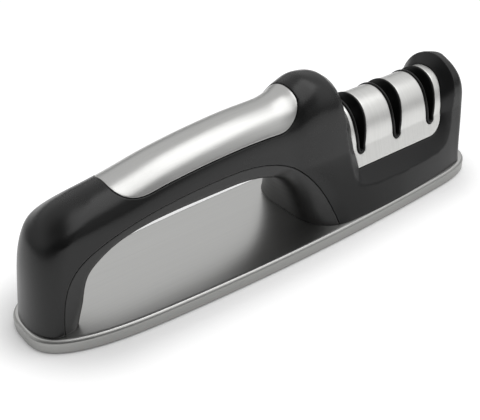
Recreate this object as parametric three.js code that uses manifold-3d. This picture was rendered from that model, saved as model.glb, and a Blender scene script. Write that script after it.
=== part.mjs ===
// Manual three stage pull-through knife sharpener on a steel base plate.
// Millimetres. X runs along the base towards the sharpening head, Y across it, Z up.
// The origin is on the surface that it stands on, under the middle of the base plate.
import * as THREE from 'three';
import { mergeVertices } from 'three/addons/utils/BufferGeometryUtils.js';
import Module from 'manifold-3d';

const wasm = await Module();
wasm.setup();

// Overall sizes
const plateLength = 215;
const plateWidth = 52.4;
const bodyHeight = 64.5;
const plateTop = 5.3;

// Walls and sheets
const casingWall = 2.4;
const plateSheet = 0.8;
const inlaySheet = 0.8;
const coverSheet = 0.8;
const guideWall = 1.0;
const soleThickness = 1.2;
const sheetLift = 0.5;
const plateEdgeRadius = 1.2;

// Clearances
const partGap = 0.3;
const seatGap = 0.05;
const spinGap = 0.15;
const overrun = 6;

// Moulded body
const handleWidth = 27;
const headWidth = 32;
const rearCapLength = 8.4;
const endCapLength = 5;
const skirtHeight = 26;
const rearRounding = 11;

// Finger opening edges
const gripRounding = 3;
const headFootRounding = 14;
const headFootDepth = 22;

// Head cover and its recess
const coverHalfWidth = 13;
const coverSpringHeight = 30;
const coverCrownHeight = 46.8;
const coverFootHeight = 21.8;
const coverCornerRadius = 8;

// Slots and their black guides
const slotWidth = 4.4;
const slotMouthWidth = 8;
const slotFloorHeight = 27.1;
const guideBead = 0.5;

// Sharpening parts
const wheelRadius = 9.5;
const wheelThickness = 3;
const grooveDepth = 3;
const grindHalfAngle = 20 * Math.PI / 180;
const axleRadius = 1.5;
const axleDrop = 5.6;
const bearingWall = 2;
const bladeWidth = 4;
const bladeThickness = 2;
const bladeLength = 17;
const bladeSpread = 20 * Math.PI / 180;
const clampThickness = 2;
const clampScrewRadius = 0.9;

// Screws that hold the base on
const screwRadius = 1.5;
const screwHeadRadius = 2.8;
const screwHeadHeight = 1.7;
const screwLength = 12;
const bossWall = 1.6;

// Derived lengths used in many places
const halfLength = plateLength / 2;
const halfPlate = plateWidth / 2;
const seat = plateTop + partGap;
const axleHeight = slotFloorHeight - axleDrop;
const slotFloorRadius = slotWidth / 2;

// Outline tables: places as shares of the half length, heights of the body height,
// half widths of the width named beside each
const crownShares = [[-1.1, 0.712], [-0.865, 0.727], [-0.79, 0.743], [-0.65, 0.78], [-0.465, 0.842],
  [-0.28, 0.881], [-0.14, 0.898], [-0.02, 0.903], [0.037, 0.92], [0.093, 0.972], [0.15, 1], [0.19, 0.992],
  [0.225, 0.966], [0.255, 0.93], [0.35, 0.84], [0.8, 0.8], [0.874, 0.797], [0.93, 0.762], [1.1, 0.68]];
const archShares = [[-1, 0.095], [-0.91, 0.125], [-0.79, 0.155], [-0.56, 0.186], [-0.09, 0.21],
  [0.09, 0.248], [0.37, 0.263], [0.8, 0.252], [0.95, 0.23]];
const handleWidthShares = [[-1.1, 0.956], [-0.84, 0.97], [-0.28, 1], [0, 1.03], [0.11, 1.096]];
const headWidthShares = [[0.11, 0.925], [0.23, 0.975], [0.37, 1], [0.84, 0.988], [1.1, 0.975]];
const skirtShares = [[-1.1, 0.492], [-0.79, 0.504], [-0.56, 0.573], [-0.28, 0.725], [0, 0.859], [0.205, 0.916],
  [0.38, 0.939], [0.5, 0.927], [0.62, 0.893], [0.76, 0.836], [0.84, 0.79], [0.9, 0.748], [1.1, 0.69]];
const seamShares = [[-0.91, 0.082], [-0.898, 0.302], [-0.884, 0.434], [-0.779, 0.508], [-0.63, 0.612],
  [-0.43, 0.636], [-0.27, 0.64], [0.025, 0.653], [0.152, 0.395], [0.188, 0.082]];
const openingShares = [[-0.843, 0.082], [-0.802, 0.349], [-0.819, 0.364], [-0.738, 0.454], [-0.626, 0.564],
  [-0.419, 0.533], [-0.256, 0.54], [0.01, 0.546], [0.0, 0.341], [0.08, 0.082]];
const rearEndShare = -0.988;
const headEndShare = 0.938;
const coverStartShare = 0.33;
const coverEndShare = 0.83;
const slotPitchShare = 0.192;
const firstSlotShare = 0.3665;
const inlayStartShare = -0.663;
const inlayEndShare = 0.068;
const inlayWidthShare = 0.83;

// Colours, roughness and metalness
const finish = (color, roughness, metalness = 0) =>
  new THREE.MeshStandardMaterial({ color, roughness, metalness });
const finishes = {
  steel: () => finish(0xb9b9b6, 0.34, 1),
  bright: () => finish(0xd2d2cf, 0.28, 1),
  casing: () => finish(0x333535, 0.5),
  liner: () => finish(0x3d3e3c, 0.6),
  guide: () => finish(0x0d0d0d, 0.4),
  inner: () => finish(0x2a2a2a, 0.6),
  rubber: () => finish(0x1b1b1b, 0.85),
  carbide: () => finish(0x6d7074, 0.35, 1),
  diamond: () => finish(0x8b8f92, 0.75, 0.6),
  ceramic: () => finish(0xe9e5da, 0.5),
  pin: () => finish(0xc4c6c8, 0.25, 1),
};

// Smooth curve through table points, in between by cubic pieces
function curveThrough(shares, xUnit, yUnit) {
  const p = shares.map(([x, y]) => [x * xUnit, y * yUnit]);
  const rise = p.slice(1).map((q, i) => (q[1] - p[i][1]) / (q[0] - p[i][0]));
  const slope = p.map((_, i) => {
    if (i === 0) return rise[0];
    if (i === p.length - 1) return rise[i - 1];
    return rise[i - 1] * rise[i] <= 0 ? 0 : 2 * rise[i - 1] * rise[i] / (rise[i - 1] + rise[i]);
  });
  return (x) => {
    let i = 0;
    while (i < p.length - 2 && x > p[i + 1][0]) i += 1;
    const w = p[i + 1][0] - p[i][0];
    const t = Math.min(Math.max((x - p[i][0]) / w, 0), 1);
    const s = 1 - t;
    return p[i][1] * s * s * (1 + 2 * t) + slope[i] * w * t * s * s
      + p[i + 1][1] * t * t * (3 - 2 * t) - slope[i + 1] * w * t * t * s;
  };
}

const crown = curveThrough(crownShares, halfLength, bodyHeight);
const archRise = curveThrough(archShares, halfLength, bodyHeight);
const handleHalf = curveThrough(handleWidthShares, halfLength, handleWidth / 2);
const headHalf = curveThrough(headWidthShares, halfLength, headWidth / 2);
const skirtHalf = curveThrough(skirtShares, halfLength, halfPlate);
const headStart = headWidthShares[0][0] * halfLength;

// Half width of the body's wall at place x and height z, before its ends are rounded
function wallHalf(x, z) {
  const top = x < headStart ? handleHalf(x) : headHalf(x);
  const h = Math.max(z - plateTop, 0);
  const flare = Math.max(1 - h / skirtHeight, 0) ** 1.15;
  return top + (skirtHalf(x) - top) * flare - 0.02 * h;
}

// Ends of the body at height z
function rearEnd(z) {
  const h = Math.max(z - plateTop, 0);
  return rearEndShare * halfLength + 0.12 * h + rearRounding * (h / (crown(-halfLength) - plateTop)) ** 6;
}
function headEnd(z) {
  const h = Math.max(z - plateTop, 0);
  return headEndShare * halfLength + 0.037 * h - endCapLength * (h / (crown(halfLength) - plateTop)) ** 8;
}
const roundedEnd = (u, power) => Math.max(1 - Math.min(Math.max(u, 0), 1) ** power, 0) ** (1 / power);

// Half width of the whole body, made smaller all round by inset
function bodyHalf(x, z, inset) {
  const rear = roundedEnd((rearEnd(z) + inset + rearCapLength - x) / rearCapLength, 2.1);
  const end = roundedEnd((x - headEnd(z) + inset + endCapLength) / endCapLength, 2.8);
  const top = crown(x) - inset;
  const rise = Math.min(archRise(x), top - plateTop);
  const arch = Math.sqrt(Math.max(1 - Math.max((z - top + rise) / rise, 0) ** 2, 0));
  return Math.max(wallHalf(x, z) - inset, 0) * rear * end * arch;
}
function bodyTop(x, inset) {
  let low = plateTop;
  let high = crown(x) - inset;
  for (let i = 0; i < 40; i += 1) {
    const mid = (low + high) / 2;
    if (x > rearEnd(mid) + inset && x < headEnd(mid) - inset) low = mid; else high = mid;
  }
  return low;
}

// Closed geometry from rings of equal count; the two end rings are capped
function skin(rings, flat) {
  const n = rings[0].length;
  const vertices = rings.flat();
  const faces = [];
  for (let r = 0; r + 1 < rings.length; r += 1) {
    for (let i = 0; i < n; i += 1) {
      const a = r * n + i;
      const b = r * n + (i + 1) % n;
      faces.push(a, b, b + n, a, b + n, a + n);
    }
  }
  for (const [ring, start, way] of [[rings[0], 0, -1], [rings.at(-1), (rings.length - 1) * n, 1]]) {
    const outline = ring.map((q) => new THREE.Vector2(q[flat[0]], q[flat[1]]));
    const turn = way * Math.sign(THREE.ShapeUtils.area(outline));
    for (const [a, b, c] of THREE.ShapeUtils.triangulateShape(outline.slice(), [])) {
      const same = THREE.ShapeUtils.area([outline[a], outline[b], outline[c]]) * turn > 0;
      faces.push(start + a, start + (same ? b : c), start + (same ? c : b));
    }
  }
  const geometry = new THREE.BufferGeometry();
  geometry.setAttribute('position', new THREE.Float32BufferAttribute(vertices.flat(), 3));
  geometry.setIndex(faces);
  return geometry;
}

// Closed geometry to a solid, turned right side out if it is inside out
function solid(geometry) {
  const bare = geometry.clone();
  bare.deleteAttribute('normal');
  bare.deleteAttribute('uv');
  const merged = mergeVertices(bare);
  const p = merged.attributes.position;
  const f = merged.index.array;
  const v = [new THREE.Vector3(), new THREE.Vector3(), new THREE.Vector3()];
  let volume = 0;
  for (let i = 0; i < f.length; i += 3) {
    v.forEach((q, k) => q.fromBufferAttribute(p, f[i + k]));
    volume += v[0].dot(v[1].cross(v[2]));
  }
  const tris = Uint32Array.from(f);
  if (volume < 0) {
    for (let i = 0; i < tris.length; i += 3) [tris[i + 1], tris[i + 2]] = [tris[i + 2], tris[i + 1]];
  }
  return new wasm.Manifold(new wasm.Mesh({ numProp: 3, vertProperties: Float32Array.from(p.array), triVerts: tris }));
}
const joined = (pieces) => pieces.reduce((a, b) => a.add(b));

// Solids from outlines: across the body, upright, and boxes and bars
function across(shape, from, to) {
  const geometry = new THREE.ExtrudeGeometry(shape, { depth: to - from, bevelEnabled: false, curveSegments: 7 });
  return solid(geometry.rotateX(Math.PI / 2).translate(0, to, 0));
}
function upright(shape, from, to) {
  const geometry = new THREE.ExtrudeGeometry(shape, { depth: to - from, bevelEnabled: false, curveSegments: 6 });
  return solid(geometry.translate(0, 0, from));
}
function block(x0, x1, y0, y1, z0, z1) {
  const geometry = new THREE.BoxGeometry(x1 - x0, y1 - y0, z1 - z0);
  return solid(geometry.translate((x0 + x1) / 2, (y0 + y1) / 2, (z0 + z1) / 2));
}
function post(x, y, z0, z1, radius, sides = 12) {
  const geometry = new THREE.CylinderGeometry(radius, radius, z1 - z0, sides).rotateX(Math.PI / 2);
  return solid(geometry.translate(x, y, (z0 + z1) / 2));
}
function bar(x0, x1, y, z, radius, sides = 16) {
  const geometry = new THREE.CylinderGeometry(radius, radius, x1 - x0, sides).rotateZ(Math.PI / 2);
  return solid(geometry.translate((x0 + x1) / 2, y, z));
}
const shapeOf = (points) => new THREE.Shape(points.map(([x, y]) => new THREE.Vector2(x, y)));

// Outline moved outwards by a distance, along the normals of its neighbours
function grown(points, distance) {
  const n = points.length;
  const away = Math.sign(THREE.ShapeUtils.area(points.map(([x, y]) => new THREE.Vector2(x, y))));
  return points.map(([x, y], i) => {
    const [ax, ay] = points[(i + n - 1) % n];
    const [bx, by] = points[(i + 1) % n];
    const length = Math.hypot(bx - ax, by - ay);
    const d = typeof distance === 'function' ? distance(i) : distance;
    return [x + away * d * (by - ay) / length, y - away * d * (bx - ax) / length];
  });
}

// The body's outer form, or a copy that is smaller by inset, down to height floor
const rearStationShares = [0.006, 0.04, 0.12, 0.26, 0.45, 0.7, 1, 1.3, 1.6];
const middleStationShares = [-0.8, -0.72, -0.6, -0.48, -0.36, -0.24, -0.13, -0.04, 0.02, 0.06, 0.1, 0.14,
  0.18, 0.22, 0.26, 0.34, 0.45, 0.57, 0.7, 0.79];
const endStationShares = [1.6, 1, 0.6, 0.35, 0.17, 0.06, 0.01];
const sideHeightShares = [0, 0.12, 0.28, 0.5, 0.78];
const archSteps = 7;
function bodyForm(inset, floor, step = 1) {
  const rear = rearEnd(plateTop);
  const end = headEnd(plateTop);
  const rearMost = rearStationShares.at(-1);
  const endMost = endStationShares[0];
  const middle = middleStationShares.filter((_, i) => i % step === 0);
  const stations = [
    ...rearStationShares.map((s) => rear + s * rearCapLength + inset * (1 - s / rearMost)),
    ...middle.map((s) => s * halfLength),
    ...endStationShares.map((s) => end - s * endCapLength - inset * (1 - s / endMost)),
  ];
  const rings = stations.map((x) => {
    const top = bodyTop(x, inset);
    const spring = plateTop + (top - plateTop) * Math.max(1 - archRise(x) / (crown(x) - inset - plateTop), 0);
    const heights = sideHeightShares.map((s) => plateTop + (spring - plateTop) * s);
    for (let i = 0; i < archSteps; i += 1) {
      heights.push(spring + (top - spring) * Math.sin(Math.PI / 2 * i / archSteps));
    }
    const side = heights.map((z, i) => [Math.max(bodyHalf(x, z, inset), seatGap * (1 - i / heights.length)), z]);
    side[0][1] = Math.min(floor, side[0][1]);
    return [...side.map(([y, z]) => [x, -y, z]), [x, 0, top], ...side.reverse().map(([y, z]) => [x, y, z])];
  });
  return solid(skin(rings, [1, 2]));
}

// Core of the head that the recess leaves standing, with the cover's arch on top
const coverStart = coverStartShare * halfLength;
const coverEnd = coverEndShare * halfLength;
const coverRise = coverCrownHeight - coverSpringHeight;
const coverSideSlope = 0.3;
const coverFootHalf = coverHalfWidth + coverSideSlope * (coverSpringHeight - coverFootHeight);
const recessSlope = 1.1;
const corner = (x, start, radius) => radius * (1 - Math.sqrt(1 - Math.min(Math.max((x - start) / radius, 0), 1) ** 2));
function coreRing(x, inset) {
  const before = Math.max(coverStart - x, 0);
  const after = Math.max(x - coverEnd, 0);
  const half = coverHalfWidth + 0.5 * before + 0.76 * after - inset;
  const rise = coverRise + 1.46 * before + 0.94 * after - inset;
  const foot = coverFootHeight + corner(x, coverEnd - coverCornerRadius, coverCornerRadius);
  const footHalf = half + coverSideSlope * (coverSpringHeight - foot);
  const far = plateWidth;
  const side = [[far, -far], [far, foot - recessSlope * (far - footHalf)], [footHalf, foot]];
  for (let i = 0; i <= archSteps; i += 1) {
    const a = Math.PI / 2 * i / archSteps;
    side.push([half * Math.cos(a), coverSpringHeight + rise * Math.sin(a)]);
  }
  const near = side.map(([y, z]) => [x, -y, z]);
  return [...near, ...side.slice(0, -1).reverse().map(([y, z]) => [x, y, z])];
}
function headCore(inset) {
  const lead = coverStart - 12 * coverSheet;
  const tail = coverEnd + 9 * coverSheet;
  const bend = [0, 0.35, 0.6, 0.8, 0.93, 1].map((s) => coverEnd - coverCornerRadius * (1 - s));
  const rings = [lead, coverStart, ...bend, tail].map((x) => coreRing(x, inset));
  return solid(skin(rings, [1, 2]));
}
function recessCut(inset) {
  const lead = coverStart - 12 * coverSheet + seatGap;
  const tail = coverEnd + 9 * coverSheet - seatGap;
  const slab = block(lead, tail, -halfPlate - overrun, halfPlate + overrun, plateTop, bodyHeight + overrun);
  return slab.subtract(headCore(inset));
}

// Arch under the cover, smaller than the cover's outside by inset
function coverArch(inset) {
  const ring = (x) => {
    const side = [[coverHalfWidth - inset + coverSideSlope * (coverSpringHeight - seat), seat]];
    for (let i = 0; i <= archSteps; i += 1) {
      const a = Math.PI / 2 * i / archSteps;
      side.push([(coverHalfWidth - inset) * Math.cos(a), coverSpringHeight + (coverRise - inset) * Math.sin(a)]);
    }
    const near = side.map(([y, z]) => [x, -y, z]);
    return [...near, ...side.slice(0, -1).reverse().map(([y, z]) => [x, y, z])];
  };
  return solid(skin([ring(coverStart - overrun), ring(coverEnd + overrun)], [1, 2]));
}

// Side view outlines
function coverOutline(margin) {
  const s = new THREE.Shape();
  const top = coverCrownHeight + overrun;
  s.moveTo(coverStart - margin, top);
  s.lineTo(coverStart - margin, coverFootHeight - margin);
  s.lineTo(coverEnd - coverCornerRadius, coverFootHeight - margin);
  s.absarc(coverEnd - coverCornerRadius, coverFootHeight + coverCornerRadius, coverCornerRadius + margin,
    -Math.PI / 2, 0, false);
  s.lineTo(coverEnd + margin, top);
  return s;
}
function slotOutline(x, margin) {
  const s = new THREE.Shape();
  const half = slotWidth / 2 + margin;
  const mouth = slotMouthWidth / 2 + margin;
  const springs = slotFloorHeight + slotFloorRadius;
  const bend = springs + (coverCrownHeight - springs) / 2;
  const top = coverCrownHeight + overrun;
  s.moveTo(x - mouth, top);
  s.lineTo(x - mouth, coverCrownHeight);
  s.quadraticCurveTo(x - mouth, bend, x - half, springs);
  s.absarc(x, springs, half, Math.PI, 2 * Math.PI, false);
  s.quadraticCurveTo(x + mouth, bend, x + mouth, coverCrownHeight);
  s.lineTo(x + mouth, top);
  return s;
}
const slotPlaces = [0, 1, 2].map((i) => (firstSlotShare + slotPitchShare * i) * halfLength);

function arcOutline(shares) {
  const at = (i) => [shares[i][0] * halfLength, shares[i][1] * bodyHeight];
  const s = new THREE.Shape();
  s.moveTo(...at(0));
  for (let i = 1; i < shares.length; i += 3) s.bezierCurveTo(...at(i), ...at(i + 1), ...at(i + 2));
  const arc = s.getPoints(8).map((q) => [q.x, q.y]);
  const [first, last] = [arc[0], arc[arc.length - 1]];
  return [[first[0], -overrun], ...arc, [last[0], -overrun]];
}

// Finger opening, its edges rounded towards both sides; larger all round by margin
function openingCut(margin) {
  const outline = arcOutline(openingShares);
  const headFoot = openingShares.at(-1)[0] * halfLength;
  const nearHead = ([x]) => {
    const t = Math.min(Math.max(1 - (headFoot - x) / (headFoot + 2 * gripRounding), 0), 1);
    return t * t * (3 - 2 * t);
  };
  const layer = (angle, side) => {
    const reach = outline.map((q) => gripRounding + (headFootRounding - gripRounding) * nearHead(q));
    const moved = grown(outline, (i) => margin + reach[i] * (1 - Math.cos(angle)));
    return moved.map(([x, z], i) => {
      const depth = gripRounding + (headFootDepth - gripRounding) * nearHead(outline[i]);
      const half = wallHalf(Math.max(outline[i][0], -halfLength), Math.max(outline[i][1], plateTop));
      return [x, side * (half - depth * (1 - Math.sin(angle))), z];
    });
  };
  const flat = (side) => layer(Math.PI / 2, side).map(([x, , z]) => [x, side * (halfPlate + overrun), z]);
  const angles = [6, 4.5, 3, 1.5, 0].map((s) => s * Math.PI / 12);
  const rings = [flat(-1), ...angles.map((a) => layer(a, -1)), ...angles.slice().reverse().map((a) => layer(a, 1)), flat(1)];
  return solid(skin(rings, [0, 2]));
}

// Plan outlines
function plateOutline(inset) {
  const half = halfLength - inset;
  const rear = 0.47 * halfLength;
  const head = 0.29 * halfLength;
  const steps = 24;
  const near = [];
  for (let i = 0; i <= steps; i += 1) {
    const x = -half * Math.cos(Math.PI * i / steps);
    const u = x / halfLength;
    const body = halfPlate * (0.997 - 0.21 * u * u + 0.049 * u) - inset;
    const ends = roundedEnd((rear - inset - half - x) / (rear - inset), 3.2)
      * roundedEnd((x - half + head - inset) / (head - inset), 3.7);
    near.push([x, -body * ends]);
  }
  return [...near, ...near.slice(1, -1).reverse().map(([x, y]) => [x, -y])];
}
function inlayOutline(margin) {
  const start = inlayStartShare * halfLength - margin;
  const end = inlayEndShare * halfLength + margin;
  const half = inlayWidthShare * handleWidth / 2 + margin;
  const wide = half * 1.067;
  const round = half * 0.55;
  const s = new THREE.Shape();
  s.moveTo(start, half - 1.4 * round);
  s.bezierCurveTo(start, half - 0.4 * round, start + 0.6 * round, half, start + 2.2 * round, half);
  s.lineTo(end - 1.85 * round, wide);
  s.bezierCurveTo(end - 0.8 * round, wide, end, wide - 0.2 * round, end, wide - 0.9 * round);
  s.lineTo(end, -(wide - 0.9 * round));
  s.bezierCurveTo(end, -(wide - 0.2 * round), end - 0.8 * round, -wide, end - 1.85 * round, -wide);
  s.lineTo(start + 2.2 * round, -half);
  s.bezierCurveTo(start + 0.6 * round, -half, start, -(half - 0.4 * round), start, -(half - 1.4 * round));
  return s;
}

// Where the base screws go, under bosses of the casing
const bossRadius = screwRadius + bossWall;
const screwPlaces = [
  [rearEnd(plateTop) + rearCapLength, 0],
  [coverStart - slotMouthWidth, headWidth * 0.28],
  [coverStart - slotMouthWidth, -headWidth * 0.28],
  [headEnd(plateTop) - casingWall - partGap - bossRadius, headWidth * 0.22],
  [headEnd(plateTop) - casingWall - partGap - bossRadius, -headWidth * 0.22],
];
const carrierStart = slotPlaces[0] - slotMouthWidth / 2 - partGap;
const carrierEnd = slotPlaces[2] + wheelThickness + spinGap + bearingWall + partGap;
const carrierScrewPlaces = [
  [(slotPlaces[0] + slotPlaces[1]) / 2, 0],
  [(slotPlaces[1] + slotPlaces[2]) / 2, 0],
];
const coreTop = plateTop - plateSheet - seatGap;
const coreBottom = soleThickness + seatGap;
const screwSeat = coreBottom + screwHeadHeight + partGap;
const screwHoleRadius = screwRadius + partGap;

function withScrewHoles(body, places) {
  const holes = places.map(([x, y]) => post(x, y, -overrun, plateTop + overrun, screwHoleRadius));
  return body.subtract(joined(holes));
}

// Base
function antiSlipSole() {
  return upright(shapeOf(plateOutline(2 * plateSheet + partGap)), 0, soleThickness);
}
function baseCoverPlate() {
  const rim = [[sheetLift, 0], [plateTop - plateEdgeRadius, 0], [plateTop - 0.4 * plateEdgeRadius, 0.2 * plateEdgeRadius],
    [plateTop - 0.12 * plateEdgeRadius, 0.5 * plateEdgeRadius], [plateTop, plateEdgeRadius]];
  const rings = rim.map(([z, inset]) => plateOutline(inset).map(([x, y]) => [x, y, z]));
  const hollow = upright(shapeOf(plateOutline(plateSheet)), -overrun, plateTop - plateSheet);
  return withScrewHoles(solid(skin(rings, [0, 1])).subtract(hollow), [...screwPlaces, ...carrierScrewPlaces]);
}
function baseCore() {
  const places = [...screwPlaces, ...carrierScrewPlaces];
  const core = upright(shapeOf(plateOutline(plateSheet + partGap)), coreBottom, coreTop);
  const pockets = places.map(([x, y]) => post(x, y, -overrun, screwSeat, screwHeadRadius + partGap));
  return withScrewHoles(core.subtract(joined(pockets)), places);
}
function baseScrew(x, y, length) {
  const top = screwSeat - seatGap;
  const profile = [[0, top - screwHeadHeight], [screwHeadRadius, top - screwHeadHeight], [screwHeadRadius, top],
    [screwRadius, top], [screwRadius, top + length - screwRadius], [0, top + length]];
  const geometry = new THREE.LatheGeometry(profile.map(([r, z]) => new THREE.Vector2(r, z)), 12);
  const drive = block(x - 0.7 * screwHeadRadius, x + 0.7 * screwHeadRadius, y - seatGap * 7, y + seatGap * 7,
    0, top - 0.5 * screwHeadHeight);
  return solid(geometry.rotateX(Math.PI / 2).translate(x, y, 0)).subtract(drive);
}

// Moulded casing and the liner under the handle
const seamOutline = arcOutline(seamShares);
const bodyOuter = bodyForm(0, seat).subtract(recessCut(0));
const footCut = block(-plateLength, plateLength, -plateWidth, plateWidth, -overrun, seat);
const hollowInset = coverSheet + partGap + casingWall;
const bodyHollow = bodyForm(casingWall, -overrun, 2).subtract(recessCut(hollowInset));

// Column over the inlay's outline, above a body form that is smaller by depth
function aboveForm(depth, margin) {
  const column = upright(inlayOutline(margin), coverCrownHeight - overrun, bodyHeight + overrun);
  return column.subtract(bodyForm(depth, -overrun));
}
function bodyCasing() {
  const seatForCover = across(coverOutline(partGap), -halfPlate, halfPlate).subtract(coverArch(coverSheet + partGap));
  const slots = joined(slotPlaces.map((x) => across(slotOutline(x, partGap), -halfPlate, halfPlate)));
  const seam = across(shapeOf(seamOutline), -halfPlate - overrun, halfPlate + overrun);
  const outer = bodyOuter.subtract(seatForCover);
  const shell = outer.subtract(bodyHollow).subtract(seam);
  const bosses = joined(screwPlaces.map(([x, y]) => post(x, y, seat, bodyHeight, bossRadius))).intersect(outer);
  const holes = joined(screwPlaces.map(([x, y]) => post(x, y, -overrun, screwSeat + screwLength + partGap, screwHoleRadius)));
  return shell.add(bosses).subtract(slots).subtract(aboveForm(inlaySheet + partGap, partGap))
    .subtract(holes).subtract(footCut);
}
function gripLiner() {
  const inside = across(shapeOf(grown(seamOutline, -partGap)), -halfPlate - overrun, halfPlate + overrun);
  const hollow = bodyForm(casingWall, -overrun, 2).subtract(openingCut(casingWall));
  return bodyForm(0, seat).intersect(inside).subtract(openingCut(0)).subtract(hollow).subtract(footCut);
}
function handleInlay() {
  return bodyForm(0, seat).intersect(aboveForm(inlaySheet, 0));
}

// Head
function headCover() {
  const slots = joined(slotPlaces.map((x) => across(slotOutline(x, partGap), -halfPlate, halfPlate)));
  return headCore(0).intersect(across(coverOutline(0), -halfPlate, halfPlate))
    .subtract(coverArch(coverSheet)).subtract(slots);
}
function slotGuide(i) {
  const x = slotPlaces[i];
  const body = across(slotOutline(x, 0), -halfPlate, halfPlate).intersect(coverArch(-guideBead));
  const way = across(slotOutline(x, -guideWall), -halfPlate, halfPlate);
  const wheelWay = wheelRadius + grooveDepth / 3;
  const bladeTop = axleHeight + bladeLength;
  const bladeRoom = bladeOffset + bladeThickness / 2 + partGap;
  const room = i === 0
    ? block(x - slotMouthWidth, x + slotMouthWidth, -bladeRoom, bladeRoom, 0, bladeTop)
    : bar(x - slotMouthWidth, x + slotMouthWidth, 0, axleHeight, wheelWay, 24);
  return body.subtract(way).subtract(room);
}

// Carrier with bearing walls for the wheels and a block for the fixed blades
const carrierFloor = seat + bearingWall;
const bladeFoot = axleHeight - bladeLength * 0.28;
const bladeOffset = bladeThickness / 2 + spinGap;
function abrasiveCarrier() {
  const wheelRoom = wheelThickness + partGap;
  const bearingHalf = axleRadius * 4;
  const floor = block(carrierStart, carrierEnd, -wheelRadius, wheelRadius, seat, carrierFloor);
  const walls = slotPlaces.slice(1).flatMap((x) => [-1, 1].map((side) => {
    const inner = x + side * wheelRoom;
    const outer = inner + side * bearingWall;
    return block(Math.min(inner, outer), Math.max(inner, outer), -bearingHalf, bearingHalf, seat,
      axleHeight + axleRadius + bearingWall);
  }));
  const bores = slotPlaces.slice(1).map((x) => bar(x - 2 * wheelRoom, x + 2 * wheelRoom, 0, axleHeight, axleRadius + spinGap));
  const x = slotPlaces[0];
  const blockFace = bladeOffset + bladeThickness / 2 + spinGap;
  const bladeBlock = block(x - bladeWidth, x + bladeWidth, blockFace, blockFace + 3 * clampThickness, seat,
    axleHeight + axleRadius);
  const screwHole = crossBar(x, blockFace - seatGap, blockFace + 2.5 * clampThickness, axleHeight - bladeWidth,
    clampScrewRadius + spinGap);
  const screwWays = carrierScrewPlaces.map(([sx, sy]) => post(sx, sy, 0, carrierFloor + 2 * bearingWall + overrun, screwHoleRadius));
  const pads = carrierScrewPlaces.map(([sx, sy]) => post(sx, sy, seat, carrierFloor + 3 * bearingWall, bossRadius));
  return joined([floor, bladeBlock, ...walls, ...pads]).subtract(joined([...bores, screwHole, ...screwWays]));
}
function crossBar(x, y0, y1, z, radius) {
  const geometry = new THREE.CylinderGeometry(radius, radius, y1 - y0, 14);
  return solid(geometry.translate(x, (y0 + y1) / 2, z));
}
function carbideBlade(side) {
  const geometry = new THREE.BoxGeometry(bladeWidth, bladeThickness, bladeLength);
  const cross = slotFloorHeight + bladeWidth;
  geometry.translate(0, 0, bladeFoot + bladeLength / 2 - cross).rotateY(side * bladeSpread);
  return solid(geometry.translate(slotPlaces[0], side * bladeOffset, cross));
}
function bladeClamp() {
  const x = slotPlaces[0];
  const face = -(bladeOffset + bladeThickness / 2 + spinGap);
  const plate = block(x - bladeWidth, x + bladeWidth, face - clampThickness, face, carrierFloor + partGap,
    axleHeight + axleRadius);
  const z = axleHeight - bladeWidth;
  return plate.subtract(crossBar(x, face - clampThickness - seatGap, face + seatGap, z, clampScrewRadius + spinGap));
}
function clampScrew() {
  const x = slotPlaces[0];
  const face = -(bladeOffset + bladeThickness / 2 + spinGap) - clampThickness - seatGap;
  const end = bladeOffset + bladeThickness / 2 + spinGap + 2 * clampThickness;
  const z = axleHeight - bladeWidth;
  const head = crossBar(x, face - clampScrewRadius, face, z, 2 * clampScrewRadius);
  return head.add(crossBar(x, face - seatGap, end, z, clampScrewRadius));
}

// Wheels in pairs: two cones on one axle make the groove that the edge runs in
function wheel(x, side) {
  const cone = grooveDepth * Math.tan(grindHalfAngle);
  const bore = axleRadius + spinGap;
  const inner = spinGap / 2;
  const profile = [[bore, inner], [wheelRadius - grooveDepth, inner], [wheelRadius, inner + cone],
    [wheelRadius, wheelThickness - grooveDepth / 6], [wheelRadius - grooveDepth / 6, wheelThickness], [bore, wheelThickness]];
  profile.push(profile[0]);
  const points = profile.map(([r, w]) => new THREE.Vector2(r, side * w));
  const geometry = new THREE.LatheGeometry(points, 24).rotateZ(-Math.PI / 2);
  return solid(geometry);
}
function axle(x) {
  const reach = wheelThickness + partGap + bearingWall;
  return bar(x - reach, x + reach, 0, axleHeight, axleRadius);
}

// Solid to a named mesh
function piece(name, body, material, place = [0, 0, 0]) {
  const out = body.getMesh();
  const geometry = new THREE.BufferGeometry();
  geometry.setAttribute('position', new THREE.Float32BufferAttribute(out.vertProperties, out.numProp));
  geometry.setIndex([...out.triVerts]);
  geometry.computeVertexNormals();
  const mesh = new THREE.Mesh(geometry, material);
  mesh.name = name;
  mesh.position.set(...place);
  return mesh;
}

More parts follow.
